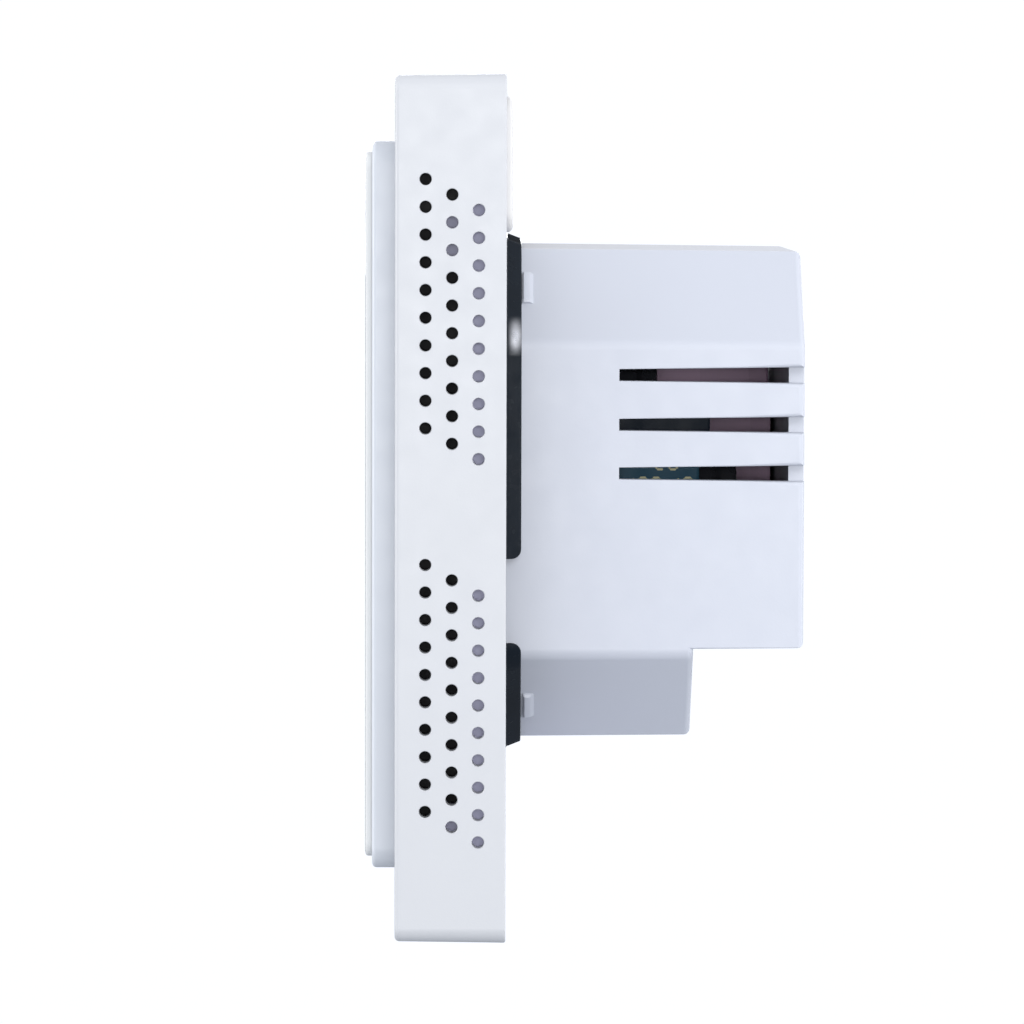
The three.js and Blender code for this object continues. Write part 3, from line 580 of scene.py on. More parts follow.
def display_face(name):
    """Dark liquid crystal face with the polariser's faint cloudy tint."""
    shader = Shader(name, (0.008, 0.012, 0.02), 0.12, coat_weight=0.4)
    shader.paint(shader.noise(120, 2), (0.006, 0.009, 0.016), (0.014, 0.02, 0.034))
    shader.bump(shader.noise(3000, 1), 0.05, 0.00001)
    return shader.material


def wound_tape(name, color):
    """Glossy wrapping tape in overlapping turns along the winding's depth."""
    shader = Shader(name, color, 0.4, specular_ior_level=0.2)
    wave = shader.add("TexWave", Scale=60, Distortion=0.4)
    wave.bands_direction = "Y"
    wave.wave_profile = "SAW"
    shader.link(shader.position, wave, "Vector")
    shader.paint(wave.outputs["Fac"], shade(color, 0.94), shade(color, 1.05))
    shader.bump(wave.outputs["Fac"], 0.4, 0.00005)
    return shader.material


def stage_material(name, color):
    """The floor's plain pale paper."""
    shader = Shader(name, color, 0.9)
    shader.paint(shader.noise(4, 2), shade(color, 0.98), color)
    return shader.material


WHITE = moulded_plastic("white_plastic", (0.44, 0.449, 0.467), 0.42)
HOUSING_WHITE = moulded_plastic("housing_plastic", (0.442, 0.461, 0.512), 0.46, grain=3800)
# A lighter, more neutral copy of the housing plastic without reflection, for its top face: painted light.
HOUSING_TOP_LIT = moulded_plastic("housing_top_painted_light", (0.57, 0.575, 0.595), 0.7, grain=3800, specular=0.0)
# The carrier's plastic is darker and violet for the shade it lies in behind the frame's vent holes: painted
# shade.
CARRIER_SHADED_WHITE = moulded_plastic("carrier_plastic_painted_shade", (0.405, 0.405, 0.56), 0.5, grain=3800)
# A lighter, neutral copy of the carrier's plastic for its pad: painted light.
PAD_LIT_WHITE = moulded_plastic("pad_plastic_painted_light", (0.56, 0.555, 0.545), 0.42, 3800, 0.00001)
# The shell's plastic is lighter than the frame's to make up for the frame's shadow on it: painted light.
SHELL_LIT_WHITE = moulded_plastic("shell_plastic", (0.51, 0.533, 0.572), 0.38, grain=6400)
BLACK_PLASTIC = moulded_plastic(
    "black_plastic", (0.009, 0.009, 0.0125), 0.45, grain=3000, variation=0.2, specular=0.15
)
RELAY_BLACK = moulded_plastic("relay_plastic", (0.006, 0.0095, 0.015), 0.16, 2000, 0.000005, 0.2, 0.05)
# The last number is the height of the bend that carries the painted highlight.
COATED = coated_steel("black_coating", (0.0055, 0.0085, 0.013), 0.22, 0.1, 0.0167)
# A copy of the coating without reflection for the faces that face up or down: painted shade.
SHADED_COATING = coated_steel("black_coating_painted_shade", (0.02, 0.022, 0.025), 0.6, 0.0)
STEEL = plated_metal("plated_steel", (0.62, 0.63, 0.65), 0.3)
BRASS = plated_metal("plated_brass", (0.75, 0.56, 0.27), 0.28)
COPPER = plated_metal("copper_winding", (0.62, 0.26, 0.12), 0.35, (1, 60, 1))
BOARD = circuit_board("circuit_board")
GLASS = cover_glass("cover_glass")
GROUND_EDGE = moulded_plastic("ground_glass_edge", (0.57, 0.58, 0.58), 0.5, 4800, 0.00003, specular=0.1)
PRINT = printed_ink("white_print", (0.84, 0.85, 0.86))
ICON_INK = printed_ink("grey_print", (0.16, 0.17, 0.19))
DISPLAY = display_face("display_face")
LIT = lit_segment("lit_segment", (0.78, 0.9, 1.0), 1.1)
DIM = lit_segment("dim_segment", (0.02, 0.03, 0.045), 0.05)
TEAL = moulded_plastic("teal_case", (0.012, 0.038, 0.058), 0.16, 2400, 0.000005, 0.15, 0.05)
GOLD_INK = printed_ink("gold_print", (0.20, 0.19, 0.09))
SLEEVE = moulded_plastic("black_sleeve", (0.016, 0.017, 0.021), 0.28, grain=900, variation=0.2)
FERRITE = moulded_plastic("ferrite", (0.06, 0.06, 0.068), 0.6, grain=1500, depth=0.00006, variation=0.2)
# The tape's mauve takes the colour of the shade inside the housing seen through its slots: painted shade on a
# real tape.
TAPE = wound_tape("winding_tape", (0.32, 0.21, 0.31))
BLUE = moulded_plastic("blue_coating", (0.02, 0.09, 0.4), 0.3, grain=700, depth=0.00005, variation=0.15)
CERAMIC = moulded_plastic("fuse_ceramic", (0.66, 0.63, 0.55), 0.4, grain=2400)
GREEN = moulded_plastic("terminal_plastic", (0.03, 0.22, 0.08), 0.4, grain=3000, variation=0.1)
DIFFUSER = moulded_plastic("diffuser", (0.86, 0.88, 0.88), 0.5, grain=2000)
FILM = moulded_plastic("amber_film", (0.55, 0.3, 0.06), 0.25, grain=2600, variation=0.1)


# -------------------- front unit


def vent_centres():
    """(y, z) of every vent hole in one side of the frame."""
    group = (VENT_ROWS - 1) * VENT_PITCH + (VENT_COLUMNS - 1) * VENT_STAGGER
    centres = []
    for top in (VENT_HIGHEST, VENT_LOWEST + group):
        for column in range(VENT_COLUMNS):
            for row in range(VENT_ROWS):
                y = VENT_FIRST_COLUMN + column * VENT_COLUMN_PITCH
                centres.append((y, top - column * VENT_STAGGER - row * VENT_PITCH))
    return centres


def vent_cutters(side):
    """Round cutters with a tiny lead-in, set square to one side wall."""
    turn = facing((-side, 0, 0), (0, 0, 1))
    cutters = []
    for y, z in vent_centres():
        surface = FRAME_HALF - FRAME_DRAFT * (y / FRAME_FRONT)
        place = (side * surface, y, z)
        cutters.append(opening("vent", circle_outline(VENT_RADIUS), FRAME_WALL + 1, 0.06, place, turn))
    return joined(cutters)


def front_frame():
    """The square cover, hollow behind, with ribs, ridges for the snap hooks and the vent holes."""
    face = 1.6
    opening_half = 33.0
    made = prism("frame_cover", square_outline(FRAME_HALF, 1.6, 8), FRAME_FRONT, FRAME_HIGH.y,
                 front_round=0.45, back_round=0.2, taper=(FRAME_DRAFT, 0.0))
    inner = FRAME_HALF - FRAME_WALL
    cut(
        made,
        prism("cavity", square_outline(inner, 1.0), FRAME_FRONT + face, 2.0, front_round=0.4),
        prism("opening", square_outline(opening_half, 1.5), FRAME_FRONT - 2, FRAME_FRONT + 4),
    )
    rib_half = 0.45
    rib_back = -4.6
    ridge_front, ridge_back = -7.8, -6.9
    ribs = []
    for side in (-1, 1):
        low, high = sorted((side * (inner - 0.6), side * (inner + 0.4)))
        for x in (-30, -18, -6, 6, 18, 30):
            corner = (x - rib_half, FRAME_FRONT + 1.2, low)
            ribs.append(rounded_block("rib", corner, (x + rib_half, rib_back, high), 0.15))
        low, high = sorted((side * (inner - 0.5), side * (inner + 0.5)))
        for z in HOOK_CENTRES:
            corner = (low, ridge_front, z - HOOK_HALF)
            ribs.append(rounded_block("ridge", corner, (high, ridge_back, z + HOOK_HALF), 0.15))
    join(made, joined(ribs))
    cut(made, vent_cutters(1), vent_cutters(-1))
    place(made, WHITE, FRONT, "front_frame", "white_plastic")


def display_shell():
    """The shell round the glass: its step sits in the frame, and its posts take the board's screws."""
    made = prism("shell_cover", square_outline(SHELL_HIGH.x, 2.2, 8), SHELL_LOW.y, FRAME_FRONT - 0.03,
                 front_round=0.45, back_round=0.12)
    before = SHELL_LOW.y - 1
    behind = SHELL_HIGH.y + 1
    step = prism("step", square_outline(32.8, 1.4), FRAME_FRONT - 0.5, SHELL_HIGH.y, back_round=0.2)
    pocket = prism("pocket", square_outline(GLASS_HIGH.x + 0.08, 1.7), before, GLASS_HIGH.y + 0.1)
    window = prism("window", square_outline(30.0, 2.0), before, behind)
    join(made, step)
    cut(made, pocket, window)
    for x in (-BOARD_SCREW, BOARD_SCREW):
        for z in (-BOARD_SCREW, BOARD_SCREW):
            join(made, rod("post", x, z, 3.0, GLASS_HIGH.y + 0.5, SHELL_HIGH.y, 0.15))
            cut(made, rod("bore", x, z, 1.25, -12.0, behind))
    # Painted light: the shell gets a lighter copy of the white plastic.
    place(made, SHELL_LIT_WHITE, FRONT, "display_shell", "shell_plastic")


def front_glass():
    made = prism("glass_cover", square_outline(GLASS_HIGH.x, 1.6, 8), GLASS_LOW.y, GLASS_HIGH.y,
                 front_round=0.3, back_round=0.08, steps=3)
    place(made, GLASS, FRONT, "front_glass", "cover_glass")
    refinish(made, GROUND_EDGE, lambda face: abs(face.normal.y) < 0.95)


DISPLAY_WINDOW = ((-21.0, -7.0), (21.0, 22.5))


def glass_print():
    """The white print behind the glass, with the display's window left clear."""
    front = GLASS_HIGH.y + 0.02
    made = prism("white_print", square_outline(GLASS_HIGH.x - 0.1, 1.5), front, front + 0.05)
    window = rect_outline(*DISPLAY_WINDOW, 1.5)
    cut(made, prism("window", window, front - 1, front + 1))
    place(made, PRINT, FRONT, slot="white_plastic")


def flat_shape(name, outline, y, thickness=0.02):
    return loft(name, [(y, outline), (y + thickness, outline)])


def ring_arc(radius, width, start, end, centre, steps=40):
    """The outline of a ring's arc between two angles in degrees."""
    x, z = centre
    angles = [math.radians(start + (end - start) * i / steps) for i in range(steps + 1)]
    outer = [(x + radius * math.cos(a), z + radius * math.sin(a)) for a in angles]
    inner = [(x + (radius - width) * math.cos(a), z + (radius - width) * math.sin(a)) for a in angles]
    return outer + inner[::-1]


def bar(centre, half_width, half_height):
    return rounded_rect(half_width, half_height, min(half_width, half_height) * 0.95, 4, centre)


def touch_icons():
    """Plain signs for the five touch areas: power, down, home, up and clock."""
    y = GLASS_HIGH.y + 0.002
    z = -19.0
    foot = z - 1.8
    eaves = z + 0.3
    shapes = [
        ring_arc(2.1, 0.42, 120, 420, (-22, z)),
        bar((-22, z + 1.5), 0.24, 1.3),
        rounded_polygon([(-11, z - 1.6), (-9, z + 1.3), (-13, z + 1.3)], 0.3, 3),
        rounded_polygon([(-2.0, foot), (2.0, foot), (2.0, eaves), (0, z + 2.1), (-2.0, eaves)], 0.25, 3),
        rounded_polygon([(11, z + 1.6), (9, z - 1.3), (13, z - 1.3)], 0.3, 3),
        ring_arc(2.1, 0.42, 0, 359, (22, z), 60),
        bar((22, z + 0.65), 0.2, 0.75),
        bar((22.6, z), 0.75, 0.2),
    ]
    made = joined([flat_shape("touch_signs", outline, y, 0.012) for outline in shapes])
    place(made, ICON_INK, FRONT, slot="black_plastic")


# The segments of the digits in use; a is the top one, g the middle one, the rest go clockwise.
DIGIT_SEGMENTS = {"0": "abcdef", "1": "bc", "2": "abged", "5": "afgcd"}


# Where each segment sits, in half widths across and quarter heights up.
SEGMENT_PLACES = {
    "a": (0, 2), "b": (1, 1), "c": (1, -1), "d": (0, -2), "e": (-1, -1), "f": (-1, 1), "g": (0, 0),
}


def segment_outline(which, centre, width, height, thickness, slant):
    """One segment of a seven-segment digit: a bar with pointed ends."""
    across, up = SEGMENT_PLACES[which]
    dx = across * width / 2
    dz = up * height / 4
    tip = thickness / 2
    reach = (height / 4 if across else width / 2) - thickness * 0.12
    end = reach - tip
    points = [(-reach, 0), (-end, -tip), (end, -tip), (reach, 0), (end, tip), (-end, tip)]
    if across:
        points = [(-b, a) for a, b in points]
    x, z = centre
    return [(x + dx + px + slant * (dz + pz), z + dz + pz) for px, pz in points]


def number_shapes(text, left, z, width, height, thickness, pitch, slant=0.08):
    """Outlines of the lit and unlit segments of a row of digits."""
    lit = []
    unlit = []
    x = left
    for sign in text:
        if sign == ".":
            dot = thickness * 0.36
            centre = (x - pitch * 0.5 - slant * height / 2, z - height / 2)
            lit.append(rounded_rect(dot, dot, dot * 0.6, 3, centre))
            continue
        for which in "abcdefg":
            outline = segment_outline(which, (x, z), width, height, thickness, slant)
            (lit if which in DIGIT_SEGMENTS[sign] else unlit).append(outline)
        x += pitch
    return lit, unlit


def flame(centre, size):
    """A simple flame outline for the heating sign."""
    x, z = centre
    points = []
    steps = 28
    for i in range(steps):
        angle = 2 * math.pi * i / steps
        lift = max(0.0, math.sin(angle)) ** 3
        radius = size * (0.62 + 0.1 * math.sin(3 * angle))
        across = radius * math.cos(angle) * (1 - 0.55 * lift)
        rise = size * 0.75 * math.sin(angle) + size * 0.55 * lift
        points.append((x + across, z + rise))
    return points


def display_segments():
    """The room and set temperatures and a few plain signs, as the display's segments."""
    y = LCD_LOW.y - 0.035
    lit, unlit = number_shapes("21.5", -9.5, 9.0, 6.2, 12.6, 1.5, 9.6)
    small_lit, small_unlit = number_shapes("22.0", 9.8, 18.6, 1.9, 3.6, 0.5, 3.1)
    lit += small_lit
    unlit += small_unlit
    lit.append(ring_arc(1.1, 0.42, 0, 359, (17.6, 14.2), 32))
    lit.append(flame((-17.0, 17.2), 1.9))
    for i in range(12):
        outline = bar((-17.6 + i * 3.2, -4.4), 1.2, 0.5)
        (lit if i < 7 else unlit).append(outline)
    made_lit = joined([flat_shape("lit_segments", outline, y) for outline in lit])
    place(made_lit, LIT, FRONT, slot="display_glass")
    made_unlit = joined([flat_shape("unlit_segments", outline, y) for outline in unlit])
    place(made_unlit, DIM, FRONT, slot="display_glass")


def lcd_panel():
    """The display's cell: its rear glass reaches further down than the front one."""
    middle = LCD_LOW.y + 1.2
    ledge = 2.0
    front_low = (LCD_LOW.x, LCD_LOW.y, LCD_LOW.z + ledge)
    made = rounded_block("display_cell", front_low, (LCD_HIGH.x, middle + 0.05, LCD_HIGH.z), 0.06)
    join(made, rounded_block("rear", (LCD_LOW.x, middle, LCD_LOW.z), LCD_HIGH, 0.06))
    place(made, DISPLAY, FRONT, "lcd_panel", "display_glass")


def inner_chassis():
    """The black tray that closes the front unit's electronics from behind."""
    half = CHASSIS_HIGH.x
    front = CHASSIS_LOW.y
    back = CHASSIS_HIGH.y
    wall = 1.2
    floor = 0.9
    made = prism("chassis_tray", square_outline(half, 2.0), front, back, front_round=0.2, back_round=0.4)
    pins = rect_outline((-11, -3.5), (11, 3.5), 1.0)
    cutters = [
        prism("room", square_outline(half - wall, 1.2), front - 1, back - floor, back_round=0.3),
        opening("pins", pins, 4, 0.2, (0, back, PINS_Z), OUT_OF_WALL),
    ]
    air = rect_outline((-6, -1.2), (6, 1.2), 0.5)
    for side in (-1, 1):
        turn = facing((0, 0, -side), (0, 1, 0))
        for x in (-24, 0, 24):
            cutters.append(opening("air", air, wall + 2, 0.15, (x, -7.2, side * half), turn))
    cut(made, *cutters)
    # Shallow stiffening grooves pressed into the floor's back face.
    groove_half = 0.6
    groove_front = back - 0.25
    grooves = []
    for x in (-30, -20, -10, 10, 20, 30):
        for low, high in ((4, 30), (-30, -25)):
            outline = rect_outline((x - groove_half, low), (x + groove_half, high), 0.55)
            grooves.append(prism("groove", outline, groove_front, back + 1))
    cut(made, joined(grooves))
    place(made, BLACK_PLASTIC, FRONT, "inner_chassis", "black_plastic")


# -------------------- rear unit


def hook(side, z):
    """A snap hook: a flat tongue with a small barb at its tip."""
    inner, outer = 38.6, 40.3
    neck = outer - 0.5
    root, tip = -2.0, -6.6
    profile = [(inner, root), (inner, tip + 0.4), (inner + 0.4, tip), (outer - 0.7, tip), (outer, -6.05),
               (outer, -4.6), (neck, -4.3), (neck, root)]
    # The tongue is lofted along Z: its profile's Y goes to the frame's Y, and its X to the side.
    points = [(x, -y) for x, y in profile]
    tongue = loft("hook", [(-HOOK_HALF, points), (HOOK_HALF, points)])
    made = moved(tongue, (0, 0, z), Matrix(((side, 0, 0), (0, 0, -1), (0, 1, 0))))
    if side < 0:
        made.data.flip_normals()
    return made


def base_plate():
    """The carrier: a shallow tray with snap hooks, screw wells and a raised pad at its top."""
    rim_front, front, back = -4.0, -2.4, -1.2
    half = BASE_HIGH.x
    made = prism("carrier_plate", square_outline(half, 1.2), rim_front, back, 0.15, 0.15)
    cut(made, prism("tray", square_outline(half - 1.6, 0.8), rim_front - 1, front, back_round=0.3))
    join(made, *[hook(side, z) for side in (-1, 1) for z in HOOK_CENTRES])
    pad = rect_outline((-38, 27.4), (38, 40.9), 2.0, 6)
    join(made, prism("pad", pad, front + 0.2, BASE_HIGH.y, back_round=0.6))
    # The pad is cored out from the front, as a moulded plate of even thickness is.
    cores = []
    for x in (-28.5, -9.5, 9.5, 28.5):
        core = rect_outline((x - 8.2, 28.8), (x + 8.2, 39.5), 1.0)
        cores.append(prism("core", core, front - 1, BASE_HIGH.y - 1.1))
    cut(made, joined(cores))
    rib_front, rib_half = -3.2, 0.5
    spans = [(x - rib_half, -37, x + rib_half, 26.0) for x in (-36, -24.6, 24.6, 36)]
    spans += [(-20, z - rib_half, 20, z + rib_half) for z in (-36, 26.5)]
    ribs = []
    for left, bottom, right, top in spans:
        ribs.append(rounded_block("rib", (left, rib_front, bottom), (right, front + 0.2, top), 0.15))
    join(made, joined(ribs))
    for x, z in POSTS:
        join(made, rod("well", x, z, 2.6, front, 0.6, 0.1))
        cut(made, rod("seat", x, z, 2.1, front - 1, -0.4), rod("bore", x, z, 1.5, -1.4, 1.6))
    pins = rect_outline((-8.6, -2.5), (8.6, 2.5), 0.8)
    driver = rect_outline((-4.5, -6), (4.5, 6), 1.5)
    holes = [opening("pins", pins, 3, 0.15, (0, front, PINS_Z), INTO_WALL)]
    for x in (-BOX_SCREW_X, BOX_SCREW_X):
        holes.append(opening("driver", driver, 3, 0.15, (x, front, 0), INTO_WALL))
    cut(made, joined(holes))
    # Painted shade: the carrier gets the darker, violet copy of the white plastic.
    place(made, CARRIER_SHADED_WHITE, WALL, "base_plate", "white_plastic")
    # Painted light: the pad's faces get the lighter copy of the plastic.
    plate_back = (back + 0.01) * MM
    pad_bottom = 27 * MM
    refinish(made, PAD_LIT_WHITE, lambda face: face.center.y > plate_back and face.center.z > pad_bottom)


def collar_notch(side, back):
    """A gap in the collar's side; the collar's corners beside it are rounded."""
    high, low = -5.95, -14.62
    corner = 0.95
    depth = 16
    half = [(0.02, high)]
    for angle in quarter_turn(6):
        half.append((back - corner + corner * math.sin(angle), high + corner * (1 - math.cos(angle))))
    half.append((back + 2, high + corner))
    points = [(side * y, z) for y, z in half] + [(side * y, high + low - z) for y, z in reversed(half)]
    turn = facing((-side, 0, 0), (0, 0, 1))
    return moved(loft("notch", [(0, points), (depth, points)]), (side * (HOUSING_HALF + 3), 0, 0), turn)


def mounting_plate():
    """The coated steel plate: flat ears inside the frame and a turned collar round the housing."""
    front, back = PLATE_LOW.y, PLATE_HIGH.y
    root, outer, inner = 1.0, 0.6, 0.15
    fillet, edge = 0.3, 0.2
    sheet = rect_outline((PLATE_LOW.x, PLATE_LOW.z), (PLATE_HIGH.x, PLATE_HIGH.z), 3.0, 8)
    made = prism("wall_plate", sheet, front, 0.0, 0.12, 0.12)

    def collar(outset, bend):
        return rounded_polygon(octagon_corners(-outset), (1.2, bend, bend, 1.2) * 2, 8)

    rings = [(-0.6, collar(root + fillet, 4.0))]
    for angle in quarter_turn(4):
        rings.append((fillet * (1 - math.cos(angle)), collar(root + fillet * (1 - math.sin(angle)), 4.0)))
    for angle in quarter_turn(4):
        rings.append((back - edge * (1 - math.sin(angle)), collar(outer - edge * (1 - math.cos(angle)), 3.8)))
    join(made, loft("collar", rings))
    passage = collar(inner, 3.0)
    cut(made, loft("passage", [(front - 1, passage), (back + 1, passage)]))
    cut(made, collar_notch(-1, back), collar_notch(1, back))
    slot = rect_outline((-2.1, -3.6), (2.1, 3.6), 2.05, 8)
    holes = []
    for x in (-BOX_SCREW_X, BOX_SCREW_X):
        holes.append(opening("slot", slot, 3, 0.12, (x, front, 0), INTO_WALL))
        for z in (-18, 18):
            holes.append(opening("hole", circle_outline(1.3), 3, 0.12, (x, front, z), INTO_WALL))
    cut(made, joined(holes))
    place(made, COATED, WALL, "mounting_plate", "black_painted_steel", 40)
    # Painted shade: the faces that face up or down get the coating without its reflection, so they stay dark.
    refinish(made, SHADED_COATING, lambda face: abs(face.normal.z) > 0.8)


def slot_outline(z, half, surface, lip, side):
    """A slot's cross-section, whose mouth opens with a rounded lip on both edges."""
    lower = [(SLOT_INNER_END, half)]
    for angle in quarter_turn(4):
        lower.append((surface - lip + lip * math.sin(angle), half + lip - lip * math.cos(angle)))
    lower.append((surface + 2.0, half + lip))
    return [(side * x, z - dz) for x, dz in lower] + [(side * x, z + dz) for x, dz in reversed(lower)]


def housing_slots():
    """Vent slots that widen towards the back and run out through the rear corner."""
    front_surface = HOUSING_HALF - HOUSING_DRAFT * SLOT_FROM / HOUSING_BACK
    back_surface = HOUSING_HALF - HOUSING_DRAFT
    middle_half = (SLOT_HALF_FRONT + 2 * SLOT_HALF_BACK) / 3
    # Each section: its depth, half height, the side's surface there and the lip's radius.
    sections = (
        (SLOT_FROM, SLOT_HALF_FRONT, front_surface, 0.06),
        (24.0, middle_half, back_surface, 0.12),
        (HOUSING_BACK - 1, SLOT_HALF_BACK, back_surface, 0.35),
        (HOUSING_BACK + 1, SLOT_HALF_BACK, back_surface, 0.6),
    )
    tools = []
    for side in (-1, 1):
        for z in SLOT_CENTRES:
            rings = [(y, slot_outline(z, half, surface, lip, side)) for y, half, surface, lip in sections]
            tools.append(loft("vent_slot", rings))
    return tools


def terminal_centres():
    return [(i - (TERMINAL_COUNT - 1) / 2) * TERMINAL_PITCH for i in range(TERMINAL_COUNT)]


BUMP_PROFILE = (
    (-0.5, -0.3), (0.65, -0.3), (0.62, 0.0), (0.35, 0.3), (0.15, 0.45), (-0.35, 0.5), (-0.5, 0.35)
)

# Each catch bump: its centre in X and Z, how its face rises, its depth and its half length.
CATCH_BUMPS = (((19.71, 21.4), 1.0, 2.13, 2.1), ((19.4, -21.5), -1.0, 2.3, 1.85))


def catch_bump(side, centre, rise, y, half_length):
    """A short ridge across a slanted face: steep towards the plate, sloping away behind."""
    normal = Vector((side, 0, rise)).normalized()
    along = normal.cross(Vector((0, 1, 0)))
    rings = []
    shoulder = half_length - 0.2
    for end, share in ((-half_length, 0.55), (-shoulder, 1.0), (shoulder, 1.0), (half_length, 0.55)):
        rings.append((end, [(x, z * share if z > 0 else z) for x, z in BUMP_PROFILE]))
    return moved(loft("bump", rings), (side * centre[0], y, centre[1]), facing(along, normal))


def housing_bodies():
    """The deep box and the terminal part, and the rooms inside them."""
    parts = (
        ("wall_box_housing", deep_box_corners, DEEP_BOX_RADII, HOUSING_BACK),
        ("terminal_part", octagon_corners, OCTAGON_RADII, STEP_DEPTH),
    )
    front = HOUSING_LOW.y
    solids = []
    rooms = []
    for name, corners, radii, back in parts:
        taper = (0.0, HOUSING_DRAFT * back / HOUSING_BACK)
        outside = housing_outline(corners, radii)
        inside = housing_outline(corners, radii, HOUSING_WALL)
        solids.append(prism(name, outside, front, back, back_round=0.6, taper=taper))
        rooms.append(prism("room", inside, front - 1, back - HOUSING_WALL, back_round=0.3, taper=taper))
    return solids, rooms


def rear_housing():
    solids, rooms = housing_bodies()
    made = join(*solids)
    cut(made, *rooms)
    for side in (-1, 1):
        for bump in CATCH_BUMPS:
            join(made, catch_bump(side, *bump))
    for x, z in POSTS:
        join(made, rod("post", x, z, 3.1, 3.6, 12.0, 0.1))
        cut(made, rod("bore", x, z, 1.4, 2.6, 11.0))
    cut(made, *housing_slots())
    driver = circle_outline(2.0)
    port = rect_outline((-1.7, -2.0), (1.7, 2.0), 0.5)
    upward = facing((0, 0, 1), (0, -1, 0))
    tools = []
    for x in terminal_centres():
        tools.append(opening("driver_hole", driver, 3, 0.25, (x, STEP_DEPTH, TERMINAL_Z), OUT_OF_WALL))
        tools.append(opening("wire_port", port, 3, 0.2, (x, 8.2, HOUSING_LOW.z + 0.12), upward))
    # A blank field for the rating label, and the moulding gate's round mark.
    label = rect_outline((-14, -8), (14, 8), 1.0)
    tools.append(opening("label_field", label, 0.25, 0.1, (0, HOUSING_BACK, 8.0), OUT_OF_WALL))
    tools.append(opening("gate_mark", circle_outline(1.5), 0.2, 0.1, (0, HOUSING_BACK, -7.5), OUT_OF_WALL))
    cut(made, joined(tools))
    place(made, HOUSING_WHITE, WALL, "rear_housing", "white_plastic")
    # Painted light: the housing's top face gets the lighter copy of its plastic.
    refinish(made, HOUSING_TOP_LIT, lambda face: face.normal.z > 0.9 and face.center.z > 20 * MM)


def relay():
    low, high = node_box("relay_case")
    wall = 0.8
    case = rounded_block("relay_cover", low, high, 0.35, 4)
    room_high = (high.x - wall, high.y - wall, high.z - wall)
    cut(case, rounded_block("room", (low.x + wall, low.y - 2, low.z + wall), room_high, 0.2))
    place(case, RELAY_BLACK, WALL, "relay_case", "black_plastic")


def film_capacitor():
    low, high = node_box("film_capacitor")
    made = rounded_block("film_capacitor_case", low, high, 0.45, 4)
    place(made, TEAL, WALL, "film_capacitor", "teal_case")
    # Plain numbers are printed along the case's outer face.
    digits = []
    for text, y, z in (("100", 9.0, 1.4), ("10", 13.6, 1.4), ("20", 12.2, 3.75)):
        digits += number_shapes(text, low.y + y, z, 0.75, 1.5, 0.22, 1.35)[0]
    marks = joined([flat_shape("printed_numbers", outline, 0, 0.01) for outline in digits])
    moved(marks, (high.x + 0.015, 0, 0), facing((-1, 0, 0), (0, 0, 1)))
    place(marks, GOLD_INK, WALL, slot="teal_case")


def cross_cut(made, x, z, arms, low, high, rounding):
    """Cuts a cross of bars, each given by its half sizes in X and Z, between two depths."""
    for half_x, half_z in arms:
        corner = (x - half_x, low, z - half_z)
        cut(made, rounded_block("arm", corner, (x + half_x, high, z + half_z), rounding))


def can_capacitor(node, name):
    """A can in a shrink sleeve that folds over its rim, with a scored vent in the top."""
    low, high = node_box(node)
    centre = (low + high) / 2
    radius = (high.x - low.x) / 2
    groove = high.y - 2.2
    top = high.y - 0.25
    profile = [
        (0, low.y), (radius - 0.3, low.y), (radius, low.y + 0.3), (radius, groove - 0.7),
        (radius - 0.12, groove - 0.4), (radius - 0.35, groove), (radius - 0.12, groove + 0.4),
        (radius, groove + 0.7), (radius, high.y - 0.5), (radius - 0.15, high.y - 0.15),
        (radius - 0.5, high.y), (radius - 1.0, high.y), (radius - 1.15, top), (0, top),
    ]
    made = moved(turned(name, profile, 48), (centre.x, 0, centre.z))
    arms = ((radius * 0.55, 0.12), (0.12, radius * 0.55))
    cross_cut(made, centre.x, centre.z, arms, top - 0.12, top + 1, 0.05)
    place(made, SLEEVE, WALL, node, "black_sleeve")


def transformer():
    """A taped bobbin, whose tape also covers a margin behind the winding, on a taped core."""
    low, high = node_box("transformer_winding")
    core_low, core_high = node_box("transformer_core")
    wound = rounded_block("wound_bobbin", low, high, 1.2, 5)
    centre_x = (low.x + high.x) / 2
    passage_half = 3.0
    passage_low = (centre_x - passage_half, low.y - 1, core_low.z - 0.2)
    passage_high = (centre_x + passage_half, high.y + 1, core_high.z + 0.2)
    cut(wound, rounded_block("passage", passage_low, passage_high, 0.1))
    margin_low = (low.x, high.y - 3, core_high.z + 0.45)
    margin_high = (high.x, core_high.y - 0.2, high.z)
    join(wound, rounded_block("margin", margin_low, margin_high, 0.3, 4))
    place(wound, TAPE, WALL, "transformer_winding", "winding_tape")
    core = rounded_block("core_halves", core_low, core_high, 0.35, 3)
    yoke = 2.8
    window_near, window_far = 2.8, 7.1
    for side in (-1, 1):
        left, right = sorted((centre_x + side * window_near, centre_x + side * window_far))
        corner = (left, core_low.y + yoke, core_low.z - 1)
        cut(core, rounded_block("window", corner, (right, core_high.y - yoke, core_high.z + 1), 0.2))
    place(core, FERRITE, WALL, "transformer_core", "ferrite")
    # Tape wrapped round the closed core holds its halves together.
    gap, thickness, show = 0.02, 0.12, 0.1

    def band(name, reach, extra, radius):
        corner = (core_low.x - reach, core_low.z - reach)
        outline = rect_outline(corner, (core_high.x + reach, core_high.z + reach), radius, 4)
        return prism(name, outline, core_low.y + show - extra, core_high.y - show + extra)

    wrap = cut(band("core_tape", gap + thickness, 0.0, 0.45), band("inside", gap, 1.0, 0.3))
    place(wrap, TAPE, WALL, slot="winding_tape")


